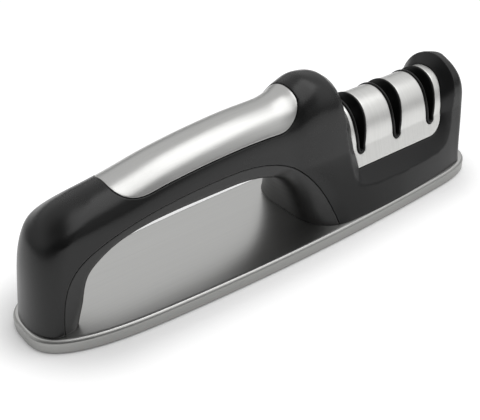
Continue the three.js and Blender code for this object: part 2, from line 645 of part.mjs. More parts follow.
const sharpener = new THREE.Group();
sharpener.add(
  piece('anti_slip_sole', antiSlipSole(), finishes.rubber()),
  piece('base_cover_plate', baseCoverPlate(), finishes.steel()),
  piece('base_core', baseCore(), finishes.inner()),
  piece('body_casing', bodyCasing(), finishes.casing()),
  piece('grip_liner', gripLiner(), finishes.liner()),
  piece('handle_inlay', handleInlay(), finishes.bright()),
  piece('head_cover', headCover(), finishes.bright()),
  piece('abrasive_carrier', abrasiveCarrier(), finishes.inner()),
  piece('carbide_blade_left', carbideBlade(-1), finishes.carbide()),
  piece('carbide_blade_right', carbideBlade(1), finishes.carbide()),
  piece('blade_clamp', bladeClamp(), finishes.pin()),
  piece('blade_clamp_screw', clampScrew(), finishes.pin()),
);
['carbide', 'diamond', 'ceramic'].forEach((stage, i) => {
  sharpener.add(piece(`slot_guide_${stage}`, slotGuide(i), finishes.guide()));
});
['diamond', 'ceramic'].forEach((stage, i) => {
  const x = slotPlaces[i + 1];
  sharpener.add(
    piece(`${stage}_axle`, axle(x), finishes.pin()),
    piece(`${stage}_wheel_left`, wheel(x, -1), finishes[stage](), [x, 0, axleHeight]),
    piece(`${stage}_wheel_right`, wheel(x, 1), finishes[stage](), [x, 0, axleHeight]),
  );
});
screwPlaces.forEach(([x, y], i) => {
  sharpener.add(piece(`base_screw_${i + 1}`, baseScrew(x, y, screwLength), finishes.pin()));
});
carrierScrewPlaces.forEach(([x, y], i) => {
  sharpener.add(piece(`carrier_screw_${i + 1}`, baseScrew(x, y, screwLength), finishes.pin()));
});

export default sharpener;
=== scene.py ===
"""A manual three stage knife sharpener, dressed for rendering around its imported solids."""
import math

import bpy
import numpy as np
from bpy.props import FloatProperty, FloatVectorProperty, PointerProperty
from bpy.types import Operator, Panel, PropertyGroup
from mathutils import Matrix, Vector
from mathutils.geometry import delaunay_2d_cdt


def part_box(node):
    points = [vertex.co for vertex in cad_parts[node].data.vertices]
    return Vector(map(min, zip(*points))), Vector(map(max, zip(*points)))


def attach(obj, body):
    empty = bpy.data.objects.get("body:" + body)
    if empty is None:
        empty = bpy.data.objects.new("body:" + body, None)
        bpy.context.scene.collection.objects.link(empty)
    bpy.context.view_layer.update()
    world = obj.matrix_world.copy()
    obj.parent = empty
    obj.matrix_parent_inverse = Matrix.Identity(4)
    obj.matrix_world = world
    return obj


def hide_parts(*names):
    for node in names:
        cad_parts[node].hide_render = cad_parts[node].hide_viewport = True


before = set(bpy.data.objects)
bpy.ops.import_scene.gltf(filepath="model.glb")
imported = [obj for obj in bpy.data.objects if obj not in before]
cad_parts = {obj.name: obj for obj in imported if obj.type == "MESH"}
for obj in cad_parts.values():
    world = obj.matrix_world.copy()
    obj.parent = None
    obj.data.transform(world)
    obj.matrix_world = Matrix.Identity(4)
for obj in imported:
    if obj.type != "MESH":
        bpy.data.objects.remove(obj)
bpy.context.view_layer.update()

bl_info = {
    "name": "Knife sharpener",
    "version": (1, 0, 0),
    "blender": (4, 5, 0),
    "location": "View3D > Sidebar > Sharpener",
    "description": "Builds the visible pieces, finishes and stage of a manual knife sharpener",
    "category": "Object",
}

MM = 0.001
BODY = "housing"


def node_box(name):
    """Lowest and highest corner of a node, in millimetres."""
    low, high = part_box(name)
    return [v / MM for v in low], [v / MM for v in high]


PLATE_LOW, PLATE_HIGH = node_box("base_cover_plate")
HALF_LENGTH = PLATE_HIGH[0]
HALF_PLATE = PLATE_HIGH[1]
PLATE_TOP = PLATE_HIGH[2]
# Sizes in millimetres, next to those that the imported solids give
SEAT = PLATE_TOP + 0.06
BODY_HEIGHT = node_box("body_casing")[1][2]
HANDLE_WIDTH = 27.0
SKIRT_HEIGHT, SKIRT_POWER = 26.0, 1.15
WALL_DRAFT = 0.02
REAR_CAP, REAR_CAP_POWER = 8.4, 2.1
REAR_LEAN, REAR_ROUNDING, REAR_POWER = 0.12, 10.3, 6
END_CAP, END_CAP_POWER = 5.0, 2.8
END_LEAN, END_ROUNDING, END_POWER = 0.037, 3.4, 8
END_BULGE, BULGE_RISE, BULGE_FALL, BULGE_LOSS = 1.1, (0, 22), (24, 34), 0.8
SOFT_REACH, SOFT_PASSES = 14.0, 24
HEAD_FOOT, HEAD_FOOT_RISE, HEAD_FOOT_LOSS = (-9, 6), (12, 36), 0.5
REAR_FOOT, REAR_FOOT_RISE, REAR_FOOT_ROUNDING = (-70, -84), (6, 16), 2
COVER_LOW, COVER_HIGH = node_box("head_cover")
COVER_START, COVER_END = 36.6, 87.8
COVER_FOOT = COVER_LOW[2]
COVER_CROWN = COVER_HIGH[2]
COVER_HALF = 13.0
COVER_SPRING = 30.0
COVER_SLOPE = 0.3
COVER_CORNER = 8.0
COVER_SPREAD, SPREAD_HEIGHTS = 2.5, (21, 37)
LEAN_HEIGHTS = (35, 46)
ARCH_MARGIN = 4
SLOT_PLACES = (39.45, 60.4, 81.1)
SLOT_FLOOR = node_box("slot_guide_diamond")[0][2]
SLOT_HALF = 2.03
SLOT_MOUTH_HALF = 3.72
SLOT_BEND = 0.8
SCREW_ROOM, SCREW_TOP = 1.8, 16
STRIP_BEND = HANDLE_WIDTH / 2 - 0.6
BOX_MARGIN = 2
FINE_BAND = (10.8, 13.6, 0.35)  # finer grid steps across the body, along the cover's sides
CURVE_STEPS = 14
OPEN_ABOVE = BODY_HEIGHT * 2

# Outline tables: places as shares of the base's half length, heights of the body's height
CROWN_SHARES = ((-1.1, 0.712), (-0.865, 0.727), (-0.79, 0.743), (-0.65, 0.78), (-0.465, 0.842),
                (-0.28, 0.881), (-0.14, 0.898), (-0.02, 0.903), (0.037, 0.92), (0.093, 0.965),
                (0.15, 0.991), (0.19, 0.984), (0.225, 0.966), (0.255, 0.932), (0.35, 0.84),
                (0.8, 0.8), (0.874, 0.797), (0.93, 0.784), (1.1, 0.765))
ARCH_SHARES = ((-1, 0.095), (-0.91, 0.125), (-0.79, 0.155), (-0.56, 0.186), (-0.09, 0.21),
               (0.09, 0.248), (0.37, 0.263), (0.8, 0.252), (0.95, 0.23))
WIDTH_SHARES = ((-1.1, 0.956), (-0.84, 0.97), (-0.28, 1.0), (0, 1.03), (0.11, 1.096), (0.23, 1.156),
                (0.37, 1.185), (0.84, 1.171), (1.1, 1.156))
SKIRT_SHARES = ((-1.1, 0.492), (-0.79, 0.504), (-0.56, 0.573), (-0.28, 0.725), (0, 0.859),
                (0.205, 0.916), (0.38, 0.939), (0.5, 0.927), (0.62, 0.893), (0.76, 0.836),
                (0.84, 0.79), (0.9, 0.748), (1.1, 0.69))
SEAM_SHARES = ((-0.91, 0.082), (-0.898, 0.302), (-0.884, 0.434), (-0.779, 0.508), (-0.63, 0.612),
               (-0.43, 0.636), (-0.27, 0.64), (0.025, 0.653), (0.152, 0.395), (0.188, 0.082))
OPENING_SHARES = ((-0.843, 0.082), (-0.802, 0.349), (-0.819, 0.364), (-0.733, 0.448),
                  (-0.624, 0.556), (-0.419, 0.533), (-0.256, 0.54), (-0.01, 0.546), (0.052, 0.385),
                  (0.092, 0.082))
RECESS_SHARES = ((0.258, 1.1), (0.256, 0.85), (0.256, 0.76), (0.263, 0.65), (0.284, 0.5),
                 (0.291, 0.43), (0.292, 0.36), (0.296, 0.32), (0.304, 0.29), (0.319, 0.265),
                 (0.345, 0.25), (0.4, 0.24), (0.467, 0.233), (0.584, 0.226), (0.71, 0.222),
                 (0.765, 0.226), (0.8, 0.238), (0.828, 0.265), (0.843, 0.305), (0.854, 0.35),
                 (0.86, 0.42), (0.865, 0.5), (0.868, 0.6), (0.874, 0.75), (0.884, 1.1))
STRIP_START, STRIP_END, STRIP_WIDTH = -0.663, 0.075, 0.83
REAR_END_SHARE = -0.988
HEAD_END_SHARE = 0.938


def curve_through(shares, x_unit, y_unit):
    """Smooth curve through table points, as a function of an array of places."""
    x, y = (np.array(column) * unit for column, unit in zip(zip(*shares), (x_unit, y_unit)))
    rise = np.diff(y) / np.diff(x)
    slope = np.zeros(len(x))
    both = rise[:-1] * rise[1:] > 0
    total = np.where(both, rise[:-1] + rise[1:], 1)
    slope[1:-1] = np.where(both, 2 * rise[:-1] * rise[1:] / total, 0)
    slope[0], slope[-1] = rise[0], rise[-1]

    def at(place):
        i = np.clip(np.searchsorted(x, place) - 1, 0, len(x) - 2)
        w = x[i + 1] - x[i]
        t = np.clip((place - x[i]) / w, 0, 1)
        s = 1 - t
        return (y[i] * s * s * (1 + 2 * t) + slope[i] * w * t * s * s
                + y[i + 1] * t * t * (3 - 2 * t) - slope[i + 1] * w * t * t * s)
    return at


crown = curve_through(CROWN_SHARES, HALF_LENGTH, BODY_HEIGHT)
arch_rise = curve_through(ARCH_SHARES, HALF_LENGTH, BODY_HEIGHT)
top_half = curve_through(WIDTH_SHARES, HALF_LENGTH, HANDLE_WIDTH / 2)
skirt_half = curve_through(SKIRT_SHARES, HALF_LENGTH, HALF_PLATE)


def unit(ways):
    """The same ways, each with length one."""
    return ways / np.maximum(np.linalg.norm(ways, axis=1, keepdims=True), 1e-9)


def smoothstep(low, high, value):
    """Grows smoothly from 0 to 1 as the value crosses a span."""
    t = np.clip((value - low) / (high - low), 0, 1)
    return t * t * (3 - 2 * t)


def wall_half(x, z):
    """Half width of the body's wall at place x and height z."""
    h = np.maximum(z - PLATE_TOP, 0)
    flare = np.maximum(1 - h / SKIRT_HEIGHT, 0) ** SKIRT_POWER
    top = top_half(x)
    return top + (skirt_half(x) - top) * flare - WALL_DRAFT * h


def rear_end(z):
    """Place of the body's rear end at height z."""
    h = np.maximum(z - PLATE_TOP, 0)
    full = float(crown(-HALF_LENGTH)) - PLATE_TOP
    return REAR_END_SHARE * HALF_LENGTH + REAR_LEAN * h + REAR_ROUNDING * (h / full) ** REAR_POWER


def head_end(z):
    """Place of the body's other end, behind the head, at height z."""
    h = np.maximum(z - PLATE_TOP, 0)
    full = float(crown(HALF_LENGTH)) - PLATE_TOP
    bulge = END_BULGE * smoothstep(*BULGE_RISE, h) * (1 - BULGE_LOSS * smoothstep(*BULGE_FALL, h))
    return HEAD_END_SHARE * HALF_LENGTH + END_LEAN * h + bulge - END_ROUNDING * (h / full) ** END_POWER


def lean(z):
    """How far the head's top leans towards its end."""
    return smoothstep(*LEAN_HEIGHTS, z)


def cover_left(z):
    return COVER_START - COVER_SPREAD * smoothstep(*SPREAD_HEIGHTS, z) + lean(z)


def cover_right(z):
    return COVER_END + 2.0 * lean(z)


def cubic(t, a, b, c, d):
    """Points of a cubic curve at shares t of its way."""
    return (1 - t) ** 3 * a + 3 * t * (1 - t) ** 2 * b + 3 * t * t * (1 - t) * c + t ** 3 * d


def bezier_line(shares, steps):
    """Points along joined cubic curves in the side view, in millimetres."""
    p = np.array(shares) * (HALF_LENGTH, BODY_HEIGHT)
    t = np.linspace(0, 1, steps, endpoint=False)[:, None]
    return np.vstack([cubic(t, *p[i:i + 4]) for i in range(0, len(p) - 1, 3)] + [p[-1:]])


def closed_below(line):
    """Side view region under an arch line, closed far under the base."""
    return np.vstack([[line[0][0], -BODY_HEIGHT], line, [line[-1][0], -BODY_HEIGHT]])


def polygon_field(points, x, z):
    """Signed distance in the side view to a closed polygon, negative inside."""
    a = points
    b = np.roll(points, -1, axis=0)
    best = np.full(np.broadcast(x, z).shape, 1e9)
    inside = np.zeros(best.shape, bool)
    for (ax, az), (bx, bz) in zip(a, b):
        ex, ez = bx - ax, bz - az
        t = np.clip(((x - ax) * ex + (z - az) * ez) / (ex * ex + ez * ez + 1e-12), 0, 1)
        best = np.minimum(best, (x - ax - t * ex) ** 2 + (z - az - t * ez) ** 2)
        crosses = (az > z) != (bz > z)
        at = ax + (z - az) / np.where(abs(ez) < 1e-12, 1e-12, ez) * ex
        inside ^= crosses & (x < at)
    return np.where(inside, -1, 1) * np.sqrt(best)


def slot_outline(center, margin, top):
    """Side view outline of a slot, open above, wider by margin."""
    springs = SLOT_FLOOR + SLOT_HALF
    half, mouth = SLOT_HALF + margin, SLOT_MOUTH_HALF + margin
    t = np.linspace(0, 1, CURVE_STEPS)[1:, None]
    bend = springs + SLOT_BEND * (COVER_CROWN - springs)
    side = ((1 - t) ** 2 * (half, springs) + 2 * t * (1 - t) * (mouth, bend)
            + t * t * (mouth, COVER_CROWN))
    a = np.linspace(-math.pi / 2, 0, 9)
    right = np.vstack([np.c_[half * np.cos(a), springs + half * np.sin(a)], side, [[mouth, top]]])
    both = np.vstack([right[::-1][:-1] * (-1, 1), right]) + (center, 0)
    both[:, 0] += lean(both[:, 1])
    return both


def cover_outline(margin, top):
    """Side view outline of the head cover, open above."""
    r = COVER_CORNER + margin
    a = np.linspace(-math.pi / 2, 0, 12)
    bend = COVER_FOOT + COVER_CORNER
    turn = np.c_[COVER_END - COVER_CORNER + r * np.cos(a), bend + r * np.sin(a)]
    up = np.append(np.linspace(bend + 0.5, COVER_CROWN, CURVE_STEPS), top)
    down = np.r_[top, np.linspace(COVER_CROWN, COVER_FOOT - margin, 18)]
    left, right = cover_left(down) - margin, cover_right(up) + margin
    return np.vstack([np.c_[left, down], turn, np.c_[right, up]])


class Forms:
    """Fields on a grid, negative inside, and the rule that joins them into one solid."""
    LEAST_SLOPE = 0.2  # as a share of the middle slope
    PROBE = 0.3  # step that slopes are measured with, as a share of a cell
    HALVINGS = 12  # of an edge, to find where it crosses the surface
    STIFFNESS = 0.03  # pull of a corner to the middle of its crossings
    LONGEST_MOVE = 0.9  # of a corner from that middle, as a share of a cell
    SETTLINGS = 2  # of a corner onto its field's surface

    def __init__(self, low, high, cell, bands=()):
        self.cell = cell
        self.axes = [np.arange(a, b + cell, cell) for a, b in zip(low, high)]
        half, at = [], cell / 2
        while at < high[1] + cell:
            half.append(at)
            at += next((fine for start, stop, fine in bands if start <= at < stop), cell)
        self.axes[1] = np.r_[-np.array(half)[::-1], half]
        self.whole = [len(a) for a in self.axes]
        self.x, self.y, self.z = np.meshgrid(*self.axes, indexing="ij", sparse=True)

    def even(self, values):
        """A field divided by its own slope, so that it measures distance near its surface."""
        full = np.broadcast_to(values, self.whole).astype(np.float32)
        slope = np.sqrt(sum(g * g for g in np.gradient(full, *self.axes)))
        return full / np.maximum(slope, self.LEAST_SLOPE * np.median(slope))

    def keep(self, *terms):
        """Takes the fields whose common part is the solid. Those in a tuple count as their union."""
        self.leaves, self.terms = [], []
        for term in terms:
            union = term if isinstance(term, tuple) else (term,)
            self.terms.append(range(len(self.leaves), len(self.leaves) + len(union)))
            self.leaves += [np.broadcast_to(f, self.whole).astype(np.float32) for f in union]

    def joined(self, values):
        """The solid's value where its fields have these, and the number of the field it is from."""
        best, owner = np.float32(-np.inf), 0
        for term in self.terms:
            value, which = values[term[0]], term[0]
            for number in term[1:]:
                less = values[number] < value
                value, which = np.where(less, values[number], value), np.where(less, number, which)
            more = value > best
            best, owner = np.where(more, value, best), np.where(more, which, owner)
        return best, owner

    def side(self, points):
        """Distance field of a side view outline."""
        return polygon_field(points, self.axes[0][:, None], self.axes[2][None, :])[:, None, :]

    def sample(self, which, points):
        """Values of each point's own field, in between the grid points."""
        base, part = [], []
        for line, value in zip(self.axes, points.T):
            b = np.clip(np.searchsorted(line, value) - 1, 0, len(line) - 2)
            base.append(b)
            part.append(np.clip((value - line[b]) / (line[b + 1] - line[b]), 0, 1))
        out = np.zeros(len(points))
        for number, field in enumerate(self.leaves):
            chosen = which == number
            if not chosen.any():
                continue
            i, j, k = (b[chosen] for b in base)
            u, v, w = (p[chosen] for p in part)
            total = 0
            for di, fu in ((0, 1 - u), (1, u)):
                for dj, fv in ((0, 1 - v), (1, v)):
                    for dk, fw in ((0, 1 - w), (1, w)):
                        total = total + field[i + di, j + dj, k + dk] * fu * fv * fw
            out[chosen] = total
        return out

    def slope(self, which, points):
        """Way in which each point's own field grows."""
        steps = np.eye(3) * (self.PROBE * self.cell)
        found = np.stack([self.sample(which, points + s) - self.sample(which, points - s)
                          for s in steps], -1)
        return unit(found)

    def surface(self):
        """Corners, four-sided faces and each face's field number, of the rule's solid."""
        value, _ = self.joined(self.leaves)
        shape = value.shape
        cells = [s - 1 for s in shape]
        points, owners, loops, leaf_ids = [], [], [], []
        for axis in range(3):
            near = [slice(0, -1) if k == axis else slice(1, -1) for k in range(3)]
            far = [slice(1, None) if k == axis else slice(1, -1) for k in range(3)]
            a, b = value[tuple(near)], value[tuple(far)]
            index = np.argwhere((a < 0) != (b < 0))
            offset = np.array([0 if k == axis else 1 for k in range(3)])
            first = index + offset
            second = first + np.eye(3, dtype=int)[axis]
            ends = [[f[tuple(p.T)] for f in self.leaves] for p in (first, second)]
            low, high = np.zeros(len(first)), np.ones(len(first))
            inside_first = value[tuple(first.T)] < 0
            for _ in range(self.HALVINGS):
                mid = (low + high) / 2
                between, _ = self.joined([p + (q - p) * mid for p, q in zip(*ends)])
                same = (between < 0) == inside_first
                low, high = np.where(same, mid, low), np.where(same, high, mid)
            t = (low + high) / 2
            _, which = self.joined([p + (q - p) * t for p, q in zip(*ends)])
            place = np.stack([self.axes[k][first[:, k]] for k in range(3)], -1).astype(float)
            place[:, axis] += t * (self.axes[axis][second[:, axis]] - place[:, axis])
            u, v = [k for k in range(3) if k != axis]
            around = np.zeros((4, 3), int)
            around[1, u] = around[2, u] = around[2, v] = around[3, v] = -1
            around[1, v] = around[3, u] = 0
            ring = first[:, None, :] + around[None]
            number = np.ravel_multi_index(tuple(ring.reshape(-1, 3).T), cells).reshape(-1, 4)
            flip = inside_first if axis == 1 else ~inside_first
            loops.append(np.where(flip[:, None], number[:, ::-1], number))
            points.append(place)
            leaf_ids.append(which)
            owners.append(number)
        place, which = np.vstack(points), np.concatenate(leaf_ids)
        number, faces = np.vstack(owners), np.vstack(loops)
        normal = self.slope(which, place)
        used, compact = np.unique(number, return_inverse=True)
        compact = compact.reshape(number.shape)
        count = len(used)
        at = np.repeat(np.arange(len(place)), 4)
        cell = compact.reshape(-1)
        total = np.bincount(cell, minlength=count)
        middle = np.stack([np.bincount(cell, place[at, k], count) for k in range(3)], -1) / total[:, None]
        away = place[at] - middle[cell]
        n = normal[at]
        right = np.einsum("ij,ij->i", n, away)
        matrix = np.stack([np.stack([np.bincount(cell, n[:, p] * n[:, q], count) for q in range(3)], -1)
                           for p in range(3)], -2)
        vector = np.stack([np.bincount(cell, n[:, p] * right, count) for p in range(3)], -1)
        matrix += np.eye(3) * self.STIFFNESS
        move = np.linalg.solve(matrix, vector[..., None])[..., 0]
        length = np.linalg.norm(move, axis=1, keepdims=True)
        move *= np.minimum(1, self.LONGEST_MOVE * self.cell / np.maximum(length, 1e-9))
        corner = middle + move
        lowest, highest = np.full(count, 99), np.full(count, -1)
        np.minimum.at(lowest, cell, which[at])
        np.maximum.at(highest, cell, which[at])
        plain = lowest == highest
        for _ in range(self.SETTLINGS):
            g = self.slope(lowest[plain], corner[plain])
            corner[plain] -= g * self.sample(lowest[plain], corner[plain])[:, None]
        return corner, np.searchsorted(used, faces), which


def join_smooth(a, b, reach):
    """Larger of two fields, rounded where they meet."""
    near = np.maximum(reach - np.abs(a - b), 0) / reach
    return np.maximum(a, b) + near * near * reach / 4


def body_field(forms):
    """The whole body before its openings are cut."""
    x, y, z = forms.x, forms.y, forms.z
    rise = arch_rise(x)
    above = np.maximum((z - crown(x) + rise) / rise, 0)
    ring = (np.abs(y) / wall_half(x, z)) ** 2 + above ** 2

    def capped(share, power):
        keep = np.maximum(1 - above ** power, 0)
        return (ring ** (power / 2) + np.maximum(share, 0) ** power * keep) ** (1 / power) - 1
    rear = capped((rear_end(z) + REAR_CAP - x) / REAR_CAP, REAR_CAP_POWER)
    end = capped((x - head_end(z) + END_CAP) / END_CAP, END_CAP_POWER)
    return softened(forms, forms.even(np.maximum(rear, end)))


def softened(forms, field):
    """A field smoothed where the rear's top line meets its end."""
    full = float(crown(-HALF_LENGTH))
    centre = (float(rear_end(full)), 0.0, full)
    spans = [slice(*np.searchsorted(line, (c - SOFT_REACH, c + SOFT_REACH)))
             for line, c in zip(forms.axes, centre)]
    part = field[tuple(spans)]
    if min(part.shape) < 3:
        return field
    lines = np.ix_(*(line[span] for line, span in zip(forms.axes, spans)))
    away = sum(((line - c) / SOFT_REACH) ** 2 for line, c in zip(lines, centre))
    smooth = part
    for _ in range(SOFT_PASSES):
        for axis in range(3):
            padded = np.concatenate([smooth.take([0], axis), smooth, smooth.take([-1], axis)], axis)
            smooth = (smooth + (padded.take(range(0, smooth.shape[axis]), axis)
                                + padded.take(range(2, smooth.shape[axis] + 2), axis)) / 2) / 2
    weight = smoothstep(1.0, 0.3, away)
    out = field.copy()
    out[tuple(spans)] = part * (1 - weight) + smooth * weight
    return out


def skin_field(forms, shape, body):
    """The body with its finger opening, the edges of the opening rounded."""
    x, z = forms.x, forms.z
    opening = forms.side(closed_below(bezier_line(OPENING_SHARES, CURVE_STEPS)))
    head = smoothstep(*HEAD_FOOT, x) * (1 - HEAD_FOOT_LOSS * smoothstep(*HEAD_FOOT_RISE, z))
    rear = smoothstep(*REAR_FOOT, x) * (1 - smoothstep(*REAR_FOOT_RISE, z))
    reach = (shape.grip_rounding + (shape.head_rounding - shape.grip_rounding) * head
             + REAR_FOOT_ROUNDING * rear)
    return join_smooth(body, -opening, reach)


def core_field(forms, body):
    """The head's core: the cover's arch, spreading to the body's outside at the recess's outline."""
    inner = forms.side(cover_outline(0, OPEN_ABOVE))
    outer = forms.side(np.array(RECESS_SHARES) * (HALF_LENGTH, BODY_HEIGHT))
    inside, left = np.maximum(inner, 0), np.maximum(-outer, 0)
    share = inside / np.maximum(inside + left, 0.01)
    return forms.even(arch_field(forms, 0) * (1 - share) + body * share - np.maximum(outer, 0))


def arch_field(forms, inset):
    """Arch under the cover, smaller than the cover's outside by inset."""
    y, z = forms.y, forms.z
    half = COVER_HALF - inset + COVER_SLOPE * np.maximum(COVER_SPRING - z, 0)
    lift = np.maximum(z - COVER_SPRING, 0) / (COVER_CROWN - COVER_SPRING - inset)
    return forms.even(np.sqrt((y / half) ** 2 + lift ** 2) - 1)


def strip_outline():
    """The steel strip's outline from above."""
    start, end = STRIP_START * HALF_LENGTH, STRIP_END * HALF_LENGTH
    half = STRIP_WIDTH * HANDLE_WIDTH / 2
    wide, r = half * 1.067, half * 0.55
    corners = [((start, half - 1.4 * r), (start, half - 0.4 * r), (start + 0.6 * r, half),
                (start + 2.2 * r, half)),
               ((end - 1.85 * r, wide), (end - 0.8 * r, wide), (end, wide - 0.2 * r),
                (end, wide - 0.9 * r))]
    t = np.linspace(0, 1, 13)[:, None]
    near = np.vstack([cubic(t, *np.array(corner)) for corner in corners])
    return np.vstack([near, near[::-1] * (1, -1)])


def strip_field(forms, body):
    """Distance along the handle's surface to the strip's outline, carried down into the body."""
    outline = strip_outline()
    reach, below, least_slope, least_steep = 3.0, 0.56 * BODY_HEIGHT, 0.3, 0.5
    bounds = ((outline[:, 0].min() - reach, outline[:, 0].max() + reach), (-99, 99), (below, 99))
    spans = [slice(*np.searchsorted(line, ends)) for line, ends in zip(forms.axes, bounds)]
    part = body[tuple(spans)]
    lines = [line[span] for line, span in zip(forms.axes, spans)]
    slopes = np.gradient(part, *lines)
    size = np.maximum(np.sqrt(sum(g * g for g in slopes)), least_slope)
    x, y = (line - part * g / size
            for line, g in zip(np.meshgrid(*lines, indexing="ij", sparse=True), slopes[:2]))
    flat = polygon_field(outline, x, y)
    steep = np.sqrt(sum(g * g for g in np.gradient(flat, *lines)))
    full = np.full(body.shape, reach, np.float32)
    full[tuple(spans)] = np.minimum(flat / np.maximum(steep, least_steep), reach)
    return full


def base_screws():
    """Places of the screws that come up through the base."""
    boxes = [node_box(name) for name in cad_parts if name.startswith("base_screw")]
    return [((low[0] + high[0]) / 2, (low[1] + high[1]) / 2) for low, high in boxes]


def screw_field(forms):
    """Room for the screws in the body."""
    x, y, z = forms.x, forms.y, forms.z
    ways = [np.sqrt((x - a) ** 2 + (y - b) ** 2) for a, b in base_screws()]
    return np.maximum(np.minimum.reduce(ways) - SCREW_ROOM, z - SCREW_TOP)


def seam_field(forms):
    """Side view region of the liner, up to its seam with the casing."""
    return forms.side(closed_below(bezier_line(SEAM_SHARES, CURVE_STEPS)))


def forms_round(name, cell, bands=()):
    """A grid round a node's box."""
    low, high = node_box(name)
    return Forms([v - BOX_MARGIN for v in low], [v + BOX_MARGIN for v in high], cell, bands)


def linked(name, data):
    """A new object in the scene."""
    item = bpy.data.objects.new(name, data)
    bpy.context.scene.collection.objects.link(item)
    return item


def tied(name, mesh, nodes):
    """A piece that moves with the body and is shown in place of its nodes."""
    piece = linked(name, mesh)
    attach(piece, BODY)
    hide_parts(*nodes)
    return piece


def new_piece(name, corners, faces, material, nodes, flat=35.0):
    """Makes a piece from corners in millimetres, with edges sharp past an angle in degrees."""
    mesh = bpy.data.meshes.new(name)
    mesh.from_pydata((np.asarray(corners) * MM).tolist(), [], [list(map(int, f)) for f in faces])
    mesh.validate()
    mesh.shade_smooth()
    mesh.set_sharp_from_angle(angle=math.radians(flat))
    mesh.materials.append(material)
    return tied(name, mesh, nodes)


def moved_in(outline, distance):
    """A closed outline, running anticlockwise, moved inwards."""
    ahead = unit(np.roll(outline, -1, axis=0) - outline)
    turn = unit(ahead + np.roll(ahead, 1, axis=0))
    reach = distance / np.maximum((turn * ahead).sum(1, keepdims=True), 0.5)
    return outline + np.c_[-turn[:, 1], turn[:, 0]] * reach


def anticlockwise(outline):
    x, y = outline.T
    area = (x * np.roll(y, -1) - y * np.roll(x, -1)).sum()
    return outline if area > 0 else outline[::-1]


def resampled(outline, step):
    """A closed outline with points at even steps, its sharp corners kept."""
    ends = np.roll(outline, -1, axis=0)
    out = []
    for a, b in zip(outline, ends):
        count = max(int(round(np.linalg.norm(b - a) / step)), 1)
        out += [a + (b - a) * i / count for i in range(count)]
    return np.array(out)


def rounded_edge(edge, thickness, lead=0.0):
    """Ring places from a sheet's face round its edge to its back, as distances in and down."""
    turn = np.linspace(0, math.pi / 2, 5)
    rim = [(edge * (1 - math.sin(a)), edge * (1 - math.cos(a))) for a in turn]
    return [(edge + lead, 0.0)] * (lead > 0) + rim + [(0.0, 0.85 * thickness), (0.0, thickness)]


def sheet(outline, holes, place, profile, step):
    """A bent sheet. place gives the spot for flat points and a depth below the surface."""
    outline = resampled(anticlockwise(outline), step)
    rings = [outline] + [resampled(anticlockwise(h), step)[::-1] for h in holes]
    corners, faces, starts, count = [], [], [], 0
    for ring in rings:
        n = len(ring)
        starts.append(count)
        corners += [place(moved_in(ring, inset), depth) for inset, depth in profile]
        for k in range(len(profile) - 1):
            a = count + k * n + np.arange(n)
            b = count + k * n + (np.arange(n) + 1) % n
            faces += np.c_[a, a + n, b + n, b].tolist()
        count += n * len(profile)
    caps = [[moved_in(ring, profile[k][0]) for ring in rings] for k in (0, -1)]
    low, high = outline.min(0), outline.max(0)
    ticks = (np.arange(a + step, b, step) for a, b in zip(low, high))
    grid = np.stack(np.meshgrid(*ticks), -1).reshape(-1, 2)
    clear = polygon_field(caps[0][0], *grid.T) < -0.5 * step
    for hole in caps[0][1:]:
        clear &= polygon_field(hole, *grid.T) > 0.5 * step
    grid = grid[clear]
    for number, cap in enumerate(caps):
        flat = np.vstack(cap + [grid]).astype(np.float32).astype(float)
        edges, index, loops, at = [], [], [], 0
        for ring, start in zip(cap, starts):
            n = len(ring)
            loops.append(flat[at:at + n])
            edges += [(at + i, at + (i + 1) % n) for i in range(n)]
            index.append(start + number * n * (len(profile) - 1) + np.arange(n))
            at += n
        index = np.concatenate(index + [count + np.arange(len(grid))])
        corners.append(place(grid, profile[-number][1]))
        count += len(grid)
        _, _, triangles, origins, _, _ = delaunay_2d_cdt([Vector(p) for p in flat], edges, [], 0, 0.0)
        source = np.array([o[0] if o else -1 for o in origins])
        t = source[np.array([q for q in triangles if len(q) == 3])]
        centre = flat[t].mean(1)
        good = polygon_field(loops[0], *centre.T) < 0
        for hole in loops[1:]:
            good &= polygon_field(hole, *centre.T) > 0
        t = t[good]
        a, b, c = (flat[t[:, k]] for k in range(3))
        area = (b - a)[:, 0] * (c - a)[:, 1] - (b - a)[:, 1] * (c - a)[:, 0]
        turned = (area < 0) != (number == 1)
        t[turned] = t[turned][:, ::-1]
        faces += index[t].tolist()
    return np.vstack(corners), faces


def top_height(x, y):
    """Height of the body's top at places seen from above."""
    rise = arch_rise(x)
    spring = crown(x) - rise
    z = crown(x)
    for _ in range(4):
        z = spring + rise * np.sqrt(np.maximum(1 - (y / wall_half(x, z)) ** 2, 0.01))
    return z


def on_handle(flat, depth):
    """Spots on the handle's top for places seen from above, or under it by depth."""
    x, y = flat.T
    d = 0.05
    slope_x = (top_height(x + d, y) - top_height(x - d, y)) / (2 * d)
    slope_y = (top_height(x, y + d) - top_height(x, y - d)) / (2 * d)
    normal = unit(np.stack([-slope_x, -slope_y, np.ones(len(x))], -1))
    return np.stack([x, y, top_height(x, y)], -1) - normal * depth


ARCH_ANGLES = np.linspace(math.pi / 2, 0, 90)
ARCH_Y = np.r_[COVER_HALF * np.cos(ARCH_ANGLES),
               COVER_HALF + COVER_SLOPE * (COVER_SPRING - COVER_FOOT + ARCH_MARGIN)]
ARCH_Z = np.r_[COVER_SPRING + (COVER_CROWN - COVER_SPRING) * np.sin(ARCH_ANGLES),
               COVER_FOOT - ARCH_MARGIN]
ARCH_LENGTH = np.r_[0, np.cumsum(np.hypot(np.diff(ARCH_Y), np.diff(ARCH_Z)))]
ARCH_TILT = np.unwrap(np.arctan2(np.gradient(ARCH_Z, ARCH_LENGTH), np.gradient(ARCH_Y, ARCH_LENGTH)))


def round_arch(height):
    """Way round the cover's arch from its crown down to a height."""
    return np.interp(-np.asarray(height), -ARCH_Z, ARCH_LENGTH)


